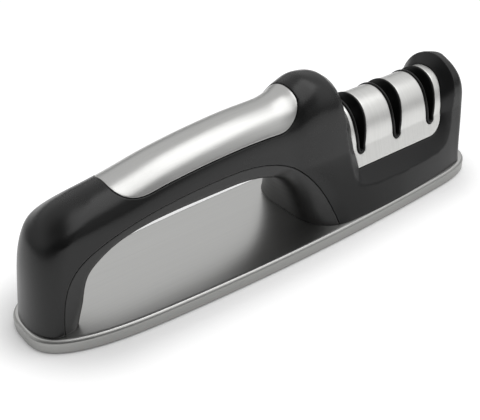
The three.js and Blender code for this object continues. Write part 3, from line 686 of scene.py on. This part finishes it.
def arch_normal(way):
    tilt = np.interp(np.abs(way), ARCH_LENGTH, ARCH_TILT)
    side = np.where(way < 0, -1.0, 1.0)
    return np.stack([np.zeros(len(way)), -np.sin(tilt) * side, np.cos(tilt)], -1)


def on_arch(flat, depth):
    """Spots on the cover for places along X and round the arch, or under it by depth."""
    x, way = flat.T
    y = np.interp(np.abs(way), ARCH_LENGTH, ARCH_Y) * np.sign(way)
    z = np.interp(np.abs(way), ARCH_LENGTH, ARCH_Z)
    return np.stack([x, y, z], -1) - arch_normal(way) * depth


def slot_loop(center, margin, step):
    """A slot's closed outline, unrolled from the arch."""
    half = slot_outline(center, margin, COVER_CROWN)[1:-1]
    half = np.c_[half[:, 0], round_arch(half[:, 1])]
    return resampled(np.vstack([half, (half * (1, -1))[::-1][1:-1]]), step)


def cover_loop():
    """The cover's outline, unrolled from the arch."""
    side = cover_outline(0, COVER_CROWN)[1:-1]
    side = np.c_[side[:, 0], round_arch(side[:, 1])]
    return np.vstack([side, (side * (1, -1))[::-1][1:-1]])


def plate_outline():
    """The base plate's outline from above."""
    rear, head = 0.47 * HALF_LENGTH, 0.29 * HALF_LENGTH
    x = -HALF_LENGTH * np.cos(np.linspace(0, math.pi, 181))
    u = x / HALF_LENGTH
    body = HALF_PLATE * (0.997 - 0.21 * u * u + 0.049 * u)

    def end(share, power):
        return np.maximum(1 - np.clip(share, 0, 1) ** power, 0) ** (1 / power)
    y = -body * end((rear - HALF_LENGTH - x) / rear, 3.2) * end((x - HALF_LENGTH + head) / head, 3.7)
    return np.vstack([np.c_[x, y], np.c_[x, -y][::-1][1:-1]])


def wire(tree, kind, settings=(), inputs=()):
    """Adds a node with its settings and its inputs, each a value or another node's output."""
    node = tree.nodes.new(kind)
    for name, value in dict(settings).items():
        setattr(node, name, value)
    for key, value in dict(inputs).items():
        if isinstance(value, bpy.types.NodeSocket):
            tree.links.new(value, node.inputs[key])
        else:
            node.inputs[key].default_value = value
    return node


def sums(tree, operation, *values, **settings):
    """A calculation with numbers."""
    return wire(tree, "ShaderNodeMath", {"operation": operation, **settings},
                dict(enumerate(values))).outputs[0]


def vectors(tree, operation, *values, out="Vector", **inputs):
    """A calculation with vectors."""
    return wire(tree, "ShaderNodeVectorMath", {"operation": operation},
                {**dict(enumerate(values)), **inputs}).outputs[out]


def spread(tree, value, across, levels):
    """Goes smoothly from one level to another as the value crosses a span."""
    return wire(tree, "ShaderNodeMapRange", {"interpolation_type": "SMOOTHSTEP"},
                {"Value": value, "From Min": across[0], "From Max": across[1],
                 "To Min": levels[0], "To Max": levels[1]}).outputs[0]


def object_place(tree):
    return wire(tree, "ShaderNodeTexCoord").outputs["Object"]


def face_normal(tree):
    return wire(tree, "ShaderNodeNewGeometry").outputs["Normal"]


def noise(tree, where, scale, detail, roughness=0.5):
    return wire(tree, "ShaderNodeTexNoise", (), {"Vector": where, "Scale": scale, "Detail": detail,
                                                 "Roughness": roughness}).outputs[0]


NUMBER, VECTOR, GEOMETRY = "NodeSocketFloat", "NodeSocketVector", "NodeSocketGeometry"
TEXTURE_OUTPUTS = (("Tone", NUMBER, None), ("Height", NUMBER, None))


def new_group(name, inputs, outputs, kind="ShaderNodeTree"):
    """An empty node group, with the sockets inside it that bring values in and take them out."""
    tree = bpy.data.node_groups.new(name, kind)
    for direction, sockets in (("INPUT", inputs), ("OUTPUT", outputs)):
        for label, socket, value in sockets:
            item = tree.interface.new_socket(label, in_out=direction, socket_type=socket)
            if value is not None:
                item.default_value = value
    return tree, tree.nodes.new("NodeGroupInput").outputs, tree.nodes.new("NodeGroupOutput").inputs


def brushed_group():
    """Fine parallel brush lines, drawn long along one way."""
    tree, enter, leave = new_group("Brushed lines", (
        ("Line scale", VECTOR, (40.0, 4000.0, 4000.0)), ("Depth", NUMBER, 0.5)), TEXTURE_OUTPUTS)
    broad_share, broad_scale, middle = 0.4, 0.23, 0.5
    scaled = vectors(tree, "MULTIPLY", object_place(tree), enter["Line scale"])
    fine = noise(tree, scaled, 1.0, 3.0, 0.6)
    broad = noise(tree, vectors(tree, "SCALE", scaled, Scale=broad_scale), 1.0, 2.0)
    shares = {0: broad_share, 2: fine, 3: broad}
    blend = wire(tree, "ShaderNodeMix", {"data_type": "FLOAT"}, shares).outputs[0]
    centred = sums(tree, "SUBTRACT", blend, middle)
    tree.links.new(sums(tree, "MULTIPLY", centred, enter["Depth"]), leave["Tone"])
    tree.links.new(blend, leave["Height"])
    return tree


def moulded_group():
    """Fine spark grain of a moulding, with slow changes of tone."""
    tree, enter, leave = new_group("Moulded grain", (
        ("Grain scale", NUMBER, 1800.0), ("Depth", NUMBER, 0.5)), TEXTURE_OUTPUTS)
    slow_scale, grain_share, middle = 28.0, 0.35, 0.68
    where = object_place(tree)
    grain = noise(tree, where, enter["Grain scale"], 2.0, 0.7)
    cells = wire(tree, "ShaderNodeTexVoronoi", {"feature": "SMOOTH_F1"},
                 {"Vector": where, "Scale": enter["Grain scale"], "Smoothness": 0.6}).outputs[0]
    slow = noise(tree, where, slow_scale, 3.0)
    mixed = sums(tree, "ADD", sums(tree, "MULTIPLY", grain, grain_share), slow)
    centred = sums(tree, "SUBTRACT", mixed, middle)
    tree.links.new(sums(tree, "MULTIPLY", centred, enter["Depth"]), leave["Tone"])
    tree.links.new(sums(tree, "MULTIPLY", sums(tree, "ADD", grain, cells), 0.5), leave["Height"])
    return tree


def edge_group():
    """Mask of rubbed edges, broken up a little."""
    tree, enter, leave = new_group("Rubbed edges", (
        ("Reach", NUMBER, 0.0008), ("Amount", NUMBER, 1.0)),
        (("Mask", NUMBER, None), ("Normal", VECTOR, None)))
    patch_scale = 260.0
    soft = wire(tree, "ShaderNodeBevel", {"samples": 6}, {"Radius": enter["Reach"]}).outputs[0]
    turned = vectors(tree, "DOT_PRODUCT", soft, face_normal(tree), out="Value")
    patchy = sums(tree, "ADD", noise(tree, object_place(tree), patch_scale, 3.0), 0.5)
    mask = sums(tree, "MULTIPLY", sums(tree, "SUBTRACT", 1.0, turned), patchy)
    tree.links.new(sums(tree, "MULTIPLY", mask, enter["Amount"], use_clamp=True), leave["Mask"])
    tree.links.new(soft, leave["Normal"])
    return tree


def shared(name, maker):
    """A node group, made when it is first asked for."""
    return bpy.data.node_groups.get(name) or maker()


def new_material(name, **values):
    """A material with its shader's own values, each named with _ for a space."""
    material = bpy.data.materials.new(name)
    material.use_nodes = True
    shader = material.node_tree.nodes["Principled BSDF"]
    for label, value in values.items():
        shader.inputs[label.replace("_", " ")].default_value = value
    return material, material.node_tree, shader


def textured(name, color, roughness, texture, edges, lift, sway, bump, **values):
    """A material with a texture group's tone and relief, and with rubbed edges.

    texture holds the group's name, maker and inputs, edges the reach and amount of the rubbing,
    lift how much lighter it is there, sway how far the tone moves the roughness, and bump the
    relief's strength and depth.
    """
    _, tree, shader = new_material(name, **values)
    label, maker, inputs = texture
    grain = wire(tree, "ShaderNodeGroup", {"node_tree": shared(label, maker)}, inputs).outputs
    rubbed = wire(tree, "ShaderNodeGroup", {"node_tree": shared("Rubbed edges", edge_group)},
                  {"Reach": edges[0], "Amount": edges[1]}).outputs
    tone = sums(tree, "ADD", grain["Tone"], sums(tree, "MULTIPLY", rubbed["Mask"], lift))
    toned = vectors(tree, "SCALE", color[:3], Scale=sums(tree, "ADD", tone, 1.0))
    rough = sums(tree, "ADD", sums(tree, "MULTIPLY", grain["Tone"], sway), roughness)
    relief = wire(tree, "ShaderNodeBump", (), {"Strength": bump[0], "Distance": bump[1],
                                               "Height": grain["Height"], "Normal": rubbed["Normal"]})
    for result, socket in ((toned, "Base Color"), (rough, "Roughness"), (relief.outputs[0], "Normal")):
        tree.links.new(result, shader.inputs[socket])
    return tree, shader


def steel(name, color, roughness, scale, contrast, bump, way=None, anisotropy=0.5):
    """Brushed steel. scale holds the brush lines' scale along each axis."""
    tree, shader = textured(
        name, color, roughness, ("Brushed lines", brushed_group, {"Line scale": scale, "Depth": contrast}),
        (0.0003, 0.8), 0.3, 0.25, (bump, 0.00002), Metallic=1.0, Anisotropic=anisotropy)
    if way == "along":
        tangent = wire(tree, "ShaderNodeCombineXYZ", (), {"X": 1.0}).outputs[0]
        tree.links.new(tangent, shader.inputs["Tangent"])
    if way == "round":
        tangent = vectors(tree, "CROSS_PRODUCT", face_normal(tree), (1.0, 0.0, 0.0))
        tree.links.new(tangent, shader.inputs["Tangent"])


def plastic(name, color, roughness, grain, depth, specular, worn):
    """Moulded plastic or rubber with its grain."""
    textured(name, color, roughness, ("Moulded grain", moulded_group, {"Grain scale": grain, "Depth": 0.5}),
             (0.0007, worn), 6.0, 0.2, (depth, 0.00005), Specular_IOR_Level=specular)


# Maker, colour, roughness and the maker's other values; a finish property stands by its name
FINISHES = {
    "Brushed cover steel": (steel, "cover_steel", "cover_roughness",
                            (5200.0, 60.0, 60.0), 0.3, 0.2, "round", 0.25),
    "Brushed strip steel": (steel, "strip_steel", "strip_roughness",
                            (30.0, 5200.0, 5200.0), 0.25, 0.15, "along", 0.6),
    "Brushed plate steel": (steel, "plate_steel", "plate_roughness",
                            (30.0, 4200.0, 4200.0), 0.2, 0.15, "along"),
    # Painted shade: a darker copy of the plate steel for the plate's edge
    "Rolled edge steel": (steel, "edge_steel", 0.4, (30.0, 4200.0, 4200.0), 0.2, 0.15, "along"),
    "Casing plastic": (plastic, "casing_color", "casing_roughness", 2600.0, 0.25, 0.4, 0.5),
    # Painted light: the recess is a lighter copy of the casing plastic
    "Recess plastic": (plastic, "recess_color", "recess_roughness", 2600.0, 0.15, 0.35, 0.5),
    "Grip plastic": (plastic, "grip_color", "grip_roughness", 1500.0, 0.5, 0.6, 0.5),
    "Guide plastic": (plastic, "guide_color", 0.35, 3000.0, 0.2, 0.3, 0.6),
    "Sole rubber": (plastic, (0.018, 0.018, 0.018), 0.75, 900.0, 0.8, 0.3, 0.3),
    "Inner plastic": (plastic, (0.03, 0.03, 0.032), 0.5, 1500.0, 0.4, 0.4, 0.3),
    "Diamond grit": (plastic, (0.2, 0.19, 0.17), 0.65, 6000.0, 1.0, 0.6, 0.2),
    "Ceramic": (plastic, (0.7, 0.69, 0.66), 0.4, 3500.0, 0.3, 0.5, 0.1),
    "Carbide": (steel, (0.3, 0.3, 0.31), 0.3, (900.0, 900.0, 9000.0), 0.4, 0.3, None, 0.0),
    "Bright steel": (steel, (0.6, 0.6, 0.6), 0.22, (900.0, 7000.0, 7000.0), 0.2, 0.2, None, 0.0),
}
# Finishes of the solids that stay as they are, by the start of their names
SOLID_FINISHES = {"anti_slip_sole": "Sole rubber", "base_core": "Inner plastic", "base_screw": "Bright steel",
                  "abrasive_carrier": "Inner plastic", "carrier_screw": "Bright steel",
                  "blade_clamp": "Bright steel", "carbide_blade": "Carbide",
                  "diamond_axle": "Bright steel", "diamond_wheel": "Diamond grit",
                  "ceramic_axle": "Bright steel", "ceramic_wheel": "Ceramic"}


def finish(name):
    """A finish's material, made when it is first asked for."""
    if name not in bpy.data.materials:
        settings = bpy.context.scene.sharpener_finish
        maker, color, roughness, *rest = FINISHES[name]
        color, roughness = (getattr(settings, v) if isinstance(v, str) else v for v in (color, roughness))
        maker(name, color, roughness, *rest)
    return bpy.data.materials[name]


def lining_group():
    """Sweeps a slot's lining, a thin wall with a rounded rim, round the slot's own path."""
    tree, enter, leave = new_group("Slot lining", (
        ("Geometry", GEOMETRY, None), ("Wall", NUMBER, 0.001), ("Depth", NUMBER, 0.008),
        ("Rim", NUMBER, 0.0005), ("Rounding", NUMBER, 0.0004), ("Finish", "NodeSocketMaterial", None)),
        (("Geometry", GEOMETRY, None),), "GeometryNodeTree")

    def step(kind, settings=(), **inputs):
        named = {label.replace("_", " "): value for label, value in inputs.items()}
        return wire(tree, "GeometryNode" + kind, settings, named).outputs[0]
    facing = step("InputNamedAttribute", {"data_type": "FLOAT_VECTOR"}, Name="facing")
    path = step("SetCurveNormal", {"mode": "FREE"}, Curve=step("MeshToCurve", Mesh=enter["Geometry"]),
                Normal=facing)
    height = sums(tree, "ADD", enter["Depth"], enter["Rim"])
    drop = sums(tree, "SUBTRACT", enter["Rim"], sums(tree, "MULTIPLY", height, 0.5))
    section = step("CurvePrimitiveQuadrilateral", Width=height, Height=enter["Wall"])
    place = wire(tree, "ShaderNodeCombineXYZ", (), {"X": drop}).outputs[0]
    section = step("FilletCurve", {"mode": "POLY"}, Radius=enter["Rounding"], Count=4,
                   Curve=step("Transform", Geometry=section, Translation=place))
    smooth = step("SetShadeSmooth", Geometry=step("CurveToMesh", Curve=path, Profile_Curve=section))
    made = step("SetMaterial", Geometry=step("RealizeInstances", Geometry=smooth), Material=enter["Finish"])
    tree.links.new(made, leave["Geometry"])
    return tree


def through_nodes(name, mesh, tree, values):
    """A new mesh made by running a mesh through a node tree with named values."""
    carrier = linked(name + "_path", mesh)
    modifier = carrier.modifiers.new("Nodes", "NODES")
    modifier.node_group = tree
    for item in tree.interface.items_tree:
        if item.item_type == "SOCKET" and item.in_out == "INPUT" and item.name in values:
            modifier[item.identifier] = values[item.name]
    bpy.context.view_layer.update()
    graph = bpy.context.evaluated_depsgraph_get()
    result = bpy.data.meshes.new_from_object(carrier.evaluated_get(graph), preserve_all_data_layers=False,
                                             depsgraph=graph)
    bpy.data.objects.remove(carrier)
    bpy.data.meshes.remove(mesh)
    result.name = name
    return result


def number(label, about, value, **more):
    return FloatProperty(name=label, description=about, default=value, **more)


def tint(label, about, *value):
    return FloatVectorProperty(name=label, description=about, default=value, subtype="COLOR")


class SHARPENER_PG_shape(PropertyGroup):
    """Sizes of the visible pieces, in millimetres."""
    cell: number("Cell", "Grid step of the moulded surfaces", 0.75, min=0.4)
    grip_rounding: number("Grip rounding", "Rounding of the finger opening", 3.6)
    head_rounding: number("Head rounding", "Rounding at the head's foot", 17.0)
    wall: number("Wall", "Casing wall", 2.4)
    gap: number("Gap", "Gap between neighbouring pieces", 0.3)
    strip_sheet: number("Sheet", "Thickness of the steel sheets", 0.8)
    sheet_edge: number("Sheet edge", "Rounding of the sheets' edges", 0.2)
    sheet_drop: number("Sheet drop", "How deep the strip lies in its bed", 0.08)
    plate_edge: number("Plate edge", "Rounding of the base plate's edge", 1.4)
    lining_wall: number("Lining wall", "Thickness of the slot linings", 1.0)
    lining_depth: number("Lining depth", "How deep the slot linings reach", 8.0)
    lining_rim: number("Lining rim", "How far the linings stand proud", 0.5)


class SHARPENER_PG_finish(PropertyGroup):
    """Colours and roughness of the finishes."""
    cover_steel: tint("Cover steel", "Colour of the cover", 0.66, 0.66, 0.645)
    cover_roughness: number("Cover roughness", "Roughness of the cover", 0.36)
    strip_steel: tint("Strip steel", "Colour of the strip", 0.53, 0.53, 0.52)
    strip_roughness: number("Strip roughness", "Roughness of the strip", 0.34)
    plate_steel: tint("Plate steel", "Colour of the base plate", 0.55, 0.55, 0.54)
    plate_roughness: number("Plate roughness", "Roughness of the plate", 0.3)
    # darker copy of the plate steel, painted shade on the plate's edge
    edge_steel: tint("Edge steel", "Colour of the plate's edge", 0.37, 0.37, 0.36)
    casing_color: tint("Casing", "Colour of the casing", 0.003, 0.0032, 0.0032)
    casing_roughness: number("Casing roughness", "Roughness of the casing", 0.28)
    # lighter than the casing's own colour, painted light on the recess
    recess_color: tint("Recess", "Colour of the recess", 0.006, 0.006, 0.0064)
    recess_roughness: number("Recess roughness", "Roughness of the recess", 0.33)
    grip_color: tint("Grip", "Colour of the liner", 0.009, 0.009, 0.0088)
    grip_roughness: number("Grip roughness", "Roughness of the liner", 0.42)
    guide_color: tint("Guides", "Colour of the slot linings", 0.006, 0.006, 0.006)


class SHARPENER_PG_stage(PropertyGroup):
    """Camera, floor and lights."""
    place: FloatVectorProperty(name="Place", description="Camera's place", subtype="TRANSLATION",
                               unit="LENGTH", default=(-0.18299, -0.21364, 0.19476))
    tilt: number("Tilt", "Camera's tilt", math.radians(56.497), subtype="ANGLE")
    turn: number("Turn", "Camera's turn", math.radians(-38.569), subtype="ANGLE")
    lens: number("Lens", "Focal length in millimetres", 62.78)
    sky: number("Sky", "Brightness overhead", 0.78)
    horizon: number("Horizon", "Brightness at the horizon", 0.14)
    front: number("Front", "Share of the brightness left round the camera", 0.15)
    side: number("Side", "Brightness to the right of the camera, as a share", 1.4)
    backing: number("Backing", "How much the floor glows to the eye", 0.36)
    # the floor's glow beside the part, a painted shadow on the floor
    shadow: number("Shadow", "The floor's glow beside the part", 0.05)
    key: number("Key", "Power of the overhead light", 3.4, unit="POWER")
    floor: number("Floor", "How light the floor is", 0.92)


class SHARPENER_OT_casing(Operator):
    """Moulded casing of head, column and arch"""
    bl_idname = "sharpener.casing"
    bl_label = "Casing"

    def execute(self, context):
        shape = context.scene.sharpener_shape
        forms = forms_round("body_casing", shape.cell, (FINE_BAND,))
        body = body_field(forms)
        skin, core = skin_field(forms, shape, body), core_field(forms, body)
        inset = shape.strip_sheet + shape.gap
        prism = forms.side(cover_outline(shape.gap, OPEN_ABOVE))
        slots = np.minimum.reduce([forms.side(slot_outline(c, shape.gap, OPEN_ABOVE)) for c in SLOT_PLACES])
        strip = strip_field(forms, body) - 1.2 * shape.gap
        room = np.maximum(np.maximum(skin + shape.wall, core + inset + shape.wall),
                          np.maximum(COVER_START - shape.wall - forms.x, forms.x - COVER_END))
        forms.keep(skin, core, SEAT - forms.z, -seam_field(forms), (-prism, arch_field(forms, inset)),
                   -slots, (-strip, body + inset), -room, -screw_field(forms))
        corners, faces, origins = forms.surface()
        piece = new_piece("casing_shell", corners, faces, finish("Casing plastic"),
                          ("body_casing",))
        piece.data.materials.append(finish("Recess plastic"))
        # painted light: faces from the head's core take the lighter recess plastic
        from_core = origins == 1
        piece.data.polygons.foreach_set("material_index", from_core.astype(np.int32))
        return {"FINISHED"}


class SHARPENER_OT_liner(Operator):
    """Softer liner round the finger opening"""
    bl_idname = "sharpener.liner"
    bl_label = "Grip liner"

    def execute(self, context):
        shape = context.scene.sharpener_shape
        forms = forms_round("grip_liner", shape.cell)
        forms.keep(skin_field(forms, shape, body_field(forms)), SEAT - forms.z, seam_field(forms) + shape.gap,
                   -screw_field(forms))
        corners, faces, _ = forms.surface()
        new_piece("grip_lining", corners, faces, finish("Grip plastic"), ("grip_liner",))
        return {"FINISHED"}


class SHARPENER_OT_strip(Operator):
    """Brushed steel strip let into the handle"""
    bl_idname = "sharpener.strip"
    bl_label = "Handle strip"

    def execute(self, context):
        shape = context.scene.sharpener_shape
        profile = rounded_edge(shape.sheet_edge, shape.strip_sheet)
        outline = strip_outline()
        outline[:, 1] = STRIP_BEND * np.arcsin(outline[:, 1] / STRIP_BEND)

        def place(flat, depth):
            across = STRIP_BEND * np.sin(flat[:, 1] / STRIP_BEND)
            return on_handle(np.c_[flat[:, 0], across], depth + shape.sheet_drop)
        corners, faces = sheet(outline, [], place, profile, 0.7)
        new_piece("handle_strip", corners, faces, finish("Brushed strip steel"),
                  ("handle_inlay",), 60.0)
        return {"FINISHED"}


class SHARPENER_OT_cover(Operator):
    """Bent steel cover with its three slots"""
    bl_idname = "sharpener.cover"
    bl_label = "Head cover"

    def execute(self, context):
        shape = context.scene.sharpener_shape
        profile = rounded_edge(shape.sheet_edge, shape.strip_sheet)
        holes = [slot_loop(c, shape.gap, 0.5) for c in SLOT_PLACES]
        corners, faces = sheet(cover_loop(), holes, on_arch, profile, 0.6)
        new_piece("cover_sheet", corners, faces, finish("Brushed cover steel"),
                  ("head_cover",), 60.0)
        return {"FINISHED"}


class SHARPENER_OT_guides(Operator):
    """Linings of the three slots, swept by Geometry Nodes"""
    bl_idname = "sharpener.guides"
    bl_label = "Slot linings"

    def execute(self, context):
        shape = context.scene.sharpener_shape
        tree = shared("Slot lining", lining_group)
        values = {"Wall": shape.lining_wall * MM, "Depth": shape.lining_depth * MM,
                  "Rim": shape.lining_rim * MM, "Rounding": 0.42 * shape.lining_wall * MM,
                  "Finish": finish("Guide plastic")}
        for center, stage in zip(SLOT_PLACES, ("carbide", "diamond", "ceramic")):
            flat = slot_loop(center, -0.5 * shape.lining_wall, 0.5)
            n = len(flat)
            mesh = bpy.data.meshes.new("path")
            mesh.from_pydata((on_arch(flat, 0.0) * MM).tolist(), [(i, (i + 1) % n) for i in range(n)], [])
            facing = mesh.attributes.new("facing", "FLOAT_VECTOR", "POINT")
            facing.data.foreach_set("vector", arch_normal(flat[:, 1]).ravel())
            made = through_nodes("slot_lining_" + stage, mesh, tree, values)
            made.set_sharp_from_angle(angle=math.radians(50))
            tied("slot_lining_" + stage, made, ("slot_guide_" + stage,))
        return {"FINISHED"}


class SHARPENER_OT_plate(Operator):
    """Brushed base plate with its rolled edge, the edge's faces in a darker steel as painted shade"""
    bl_idname = "sharpener.plate"
    bl_label = "Base plate"
    FLAT_FACE = 0.97  # least upward part of the normal of the brushed top's faces; steeper faces get the darker steel, a painted shade

    def execute(self, context):
        shape = context.scene.sharpener_shape
        drop, wall = PLATE_HIGH[2] - PLATE_LOW[2], shape.strip_sheet
        profile = rounded_edge(shape.plate_edge, drop, wall) + [(wall, drop), (wall, wall)]

        def place(flat, depth):
            return np.c_[flat, np.full(len(flat), PLATE_TOP - depth)]
        corners, faces = sheet(plate_outline(), [], place, profile, 1.2)
        piece = new_piece("base_plate", corners, faces, finish("Brushed plate steel"),
                          ("base_cover_plate",), 40.0)
        piece.data.materials.append(finish("Rolled edge steel"))
        # painted shade: faces that turn away from the top take the darker edge steel
        for face in piece.data.polygons:
            face.material_index = int(face.normal.z < self.FLAT_FACE)
        return {"FINISHED"}


class SHARPENER_OT_inner(Operator):
    """Finishes of the solids that stay as they are: sole, core, carrier, blades, wheels, axles and screws"""
    bl_idname = "sharpener.inner"
    bl_label = "Inner pieces"

    def execute(self, context):
        for name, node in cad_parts.items():
            if node.hide_render:
                continue
            found = [label for start, label in SOLID_FINISHES.items() if name.startswith(start)]
            if not found:
                raise RuntimeError("No finish is set for " + name)
            node.data.materials.clear()
            node.data.materials.append(finish(found[0]))
        return {"FINISHED"}


class SHARPENER_OT_stage(Operator):
    """Camera, white floor, surroundings and lights"""
    bl_idname = "sharpener.stage"
    bl_label = "Stage"
    FLOOR_HALF = 4.0
    SPINE = (0.08, 0.0, 0.0)  # half of the line that distances on the floor are measured from
    SHADOW_SPAN, FAR_SPAN = (0.02, 0.044), (0.06, 1.5)  # distances over which the floor's glow grows, first out of its painted shadow beside the part, then to full white far off
    SKY_SPAN = (0.0, 0.42)  # heights over which the brightness grows
    FRONT, FRONT_SPAN = (-0.5, -0.66, 0.56), (0.35, 0.85)  # way to the camera, and how near it
    RIGHT, RIGHT_SPAN = (0.5, -0.68, 0.53), (0.75, 0.97)

    def execute(self, context):
        stage = context.scene.sharpener_stage
        self.add_camera(context, stage)
        self.add_floor(stage)
        self.add_world(context, stage)
        self.add_light("Overhead", (0.17, -0.21, 0.85), (0.85, 0.75), stage.key)
        return {"FINISHED"}

    def add_camera(self, context, stage):
        camera = linked("Camera", bpy.data.cameras.new("Camera"))
        camera.data.lens = stage.lens
        camera.data.sensor_width = 36
        camera.data.clip_start = 0.01
        camera.location = stage.place
        camera.rotation_euler = (stage.tilt, 0, stage.turn)
        context.scene.camera = camera
        context.scene.view_settings.view_transform = "Standard"

    def add_floor(self, stage):
        """A white floor that glows to the eye; its glow is lowest beside the part, a painted shadow there."""
        mesh, far = bpy.data.meshes.new("Floor"), self.FLOOR_HALF
        mesh.from_pydata([(-far, -far, 0), (far, -far, 0), (far, far, 0), (-far, far, 0)], [], [(0, 1, 2, 3)])
        floor = linked("Floor", mesh)
        paint, tree, shader = new_material("Floor white", Roughness=0.9, Specular_IOR_Level=0.1)
        shader.inputs["Base Color"].default_value = (stage.floor, stage.floor, stage.floor, 1)
        rays = wire(tree, "ShaderNodeLightPath").outputs
        seen = sums(tree, "MAXIMUM", rays["Is Camera Ray"], rays["Is Glossy Ray"])
        past_spine = vectors(tree, "SUBTRACT", vectors(tree, "ABSOLUTE", object_place(tree)), self.SPINE)
        away = vectors(tree, "LENGTH", vectors(tree, "MAXIMUM", past_spine, (0, 0, 0)), out="Value")
        # painted shadow: the floor's glow drops to the shadow level beside the part
        beside = spread(tree, away, self.SHADOW_SPAN, (stage.shadow, stage.backing))
        glow = sums(tree, "MAXIMUM", beside, spread(tree, away, self.FAR_SPAN, (0.0, 1.0)))
        tree.links.new(sums(tree, "MULTIPLY", seen, glow), shader.inputs["Emission Strength"])
        shader.inputs["Emission Color"].default_value = (1, 1, 1, 1)
        mesh.materials.append(paint)

    def add_world(self, context, stage):
        """Surroundings that are white to the eye and light the part unevenly."""
        world = bpy.data.worlds.new("Surroundings")
        world.use_nodes = True
        context.scene.world = world
        tree = world.node_tree
        tree.nodes.clear()
        way = wire(tree, "ShaderNodeTexCoord").outputs["Generated"]
        height = wire(tree, "ShaderNodeSeparateXYZ", (), {0: way}).outputs["Z"]
        level = spread(tree, height, self.SKY_SPAN, (stage.horizon, stage.sky))
        for aim, span, share in ((self.FRONT, self.FRONT_SPAN, stage.front),
                                 (self.RIGHT, self.RIGHT_SPAN, stage.side)):
            near = vectors(tree, "DOT_PRODUCT", way, aim, out="Value")
            level = sums(tree, "MULTIPLY", level, spread(tree, near, span, (1.0, share)))
        seen = wire(tree, "ShaderNodeLightPath").outputs["Is Camera Ray"]
        mixed = wire(tree, "ShaderNodeMix", {"data_type": "FLOAT"}, {0: seen, 2: level, 3: 1.0}).outputs[0]
        glow = wire(tree, "ShaderNodeBackground", (), {"Color": (1, 1, 1, 1), "Strength": mixed}).outputs[0]
        wire(tree, "ShaderNodeOutputWorld", (), {"Surface": glow})

    def add_light(self, name, place, size, power):
        """A soft oblong light that faces the part."""
        lamp = bpy.data.lights.new(name, "AREA")
        lamp.shape = "RECTANGLE"
        lamp.size, lamp.size_y = size
        lamp.energy = power
        holder = linked(name, lamp)
        holder.location = place
        aim = Vector((0, 0, 0.03)) - Vector(place)
        holder.rotation_euler = aim.to_track_quat("-Z", "Y").to_euler()


BUILDERS = (SHARPENER_OT_casing, SHARPENER_OT_liner, SHARPENER_OT_strip, SHARPENER_OT_cover,
            SHARPENER_OT_guides, SHARPENER_OT_plate, SHARPENER_OT_inner, SHARPENER_OT_stage)


class SHARPENER_PT_panel(Panel):
    """Buttons and settings for the knife sharpener"""
    bl_label = "Knife sharpener"
    bl_idname = "SHARPENER_PT_panel"
    bl_space_type = "VIEW_3D"
    bl_region_type = "UI"
    bl_category = "Sharpener"

    def draw(self, context):
        for builder in BUILDERS:
            self.layout.operator(builder.bl_idname)
        for settings, _ in GROUPS:
            box, group = self.layout.box(), getattr(context.scene, settings)
            for name in group.__annotations__:
                box.prop(group, name)


GROUPS = (("sharpener_shape", SHARPENER_PG_shape), ("sharpener_finish", SHARPENER_PG_finish),
          ("sharpener_stage", SHARPENER_PG_stage))


def register():
    for name, group in GROUPS:
        bpy.utils.register_class(group)
        setattr(bpy.types.Scene, name, PointerProperty(type=group))
    for item in BUILDERS + (SHARPENER_PT_panel,):
        bpy.utils.register_class(item)


def unregister():
    for item in (SHARPENER_PT_panel,) + BUILDERS[::-1]:
        bpy.utils.unregister_class(item)
    for name, group in GROUPS[::-1]:
        delattr(bpy.types.Scene, name)
        bpy.utils.unregister_class(group)


def main():
    """Builds the pieces and the stage."""
    register()
    for builder in BUILDERS:
        family, name = builder.bl_idname.split(".")
        getattr(getattr(bpy.ops, family), name)()


if __name__ == "__main__":
    main()
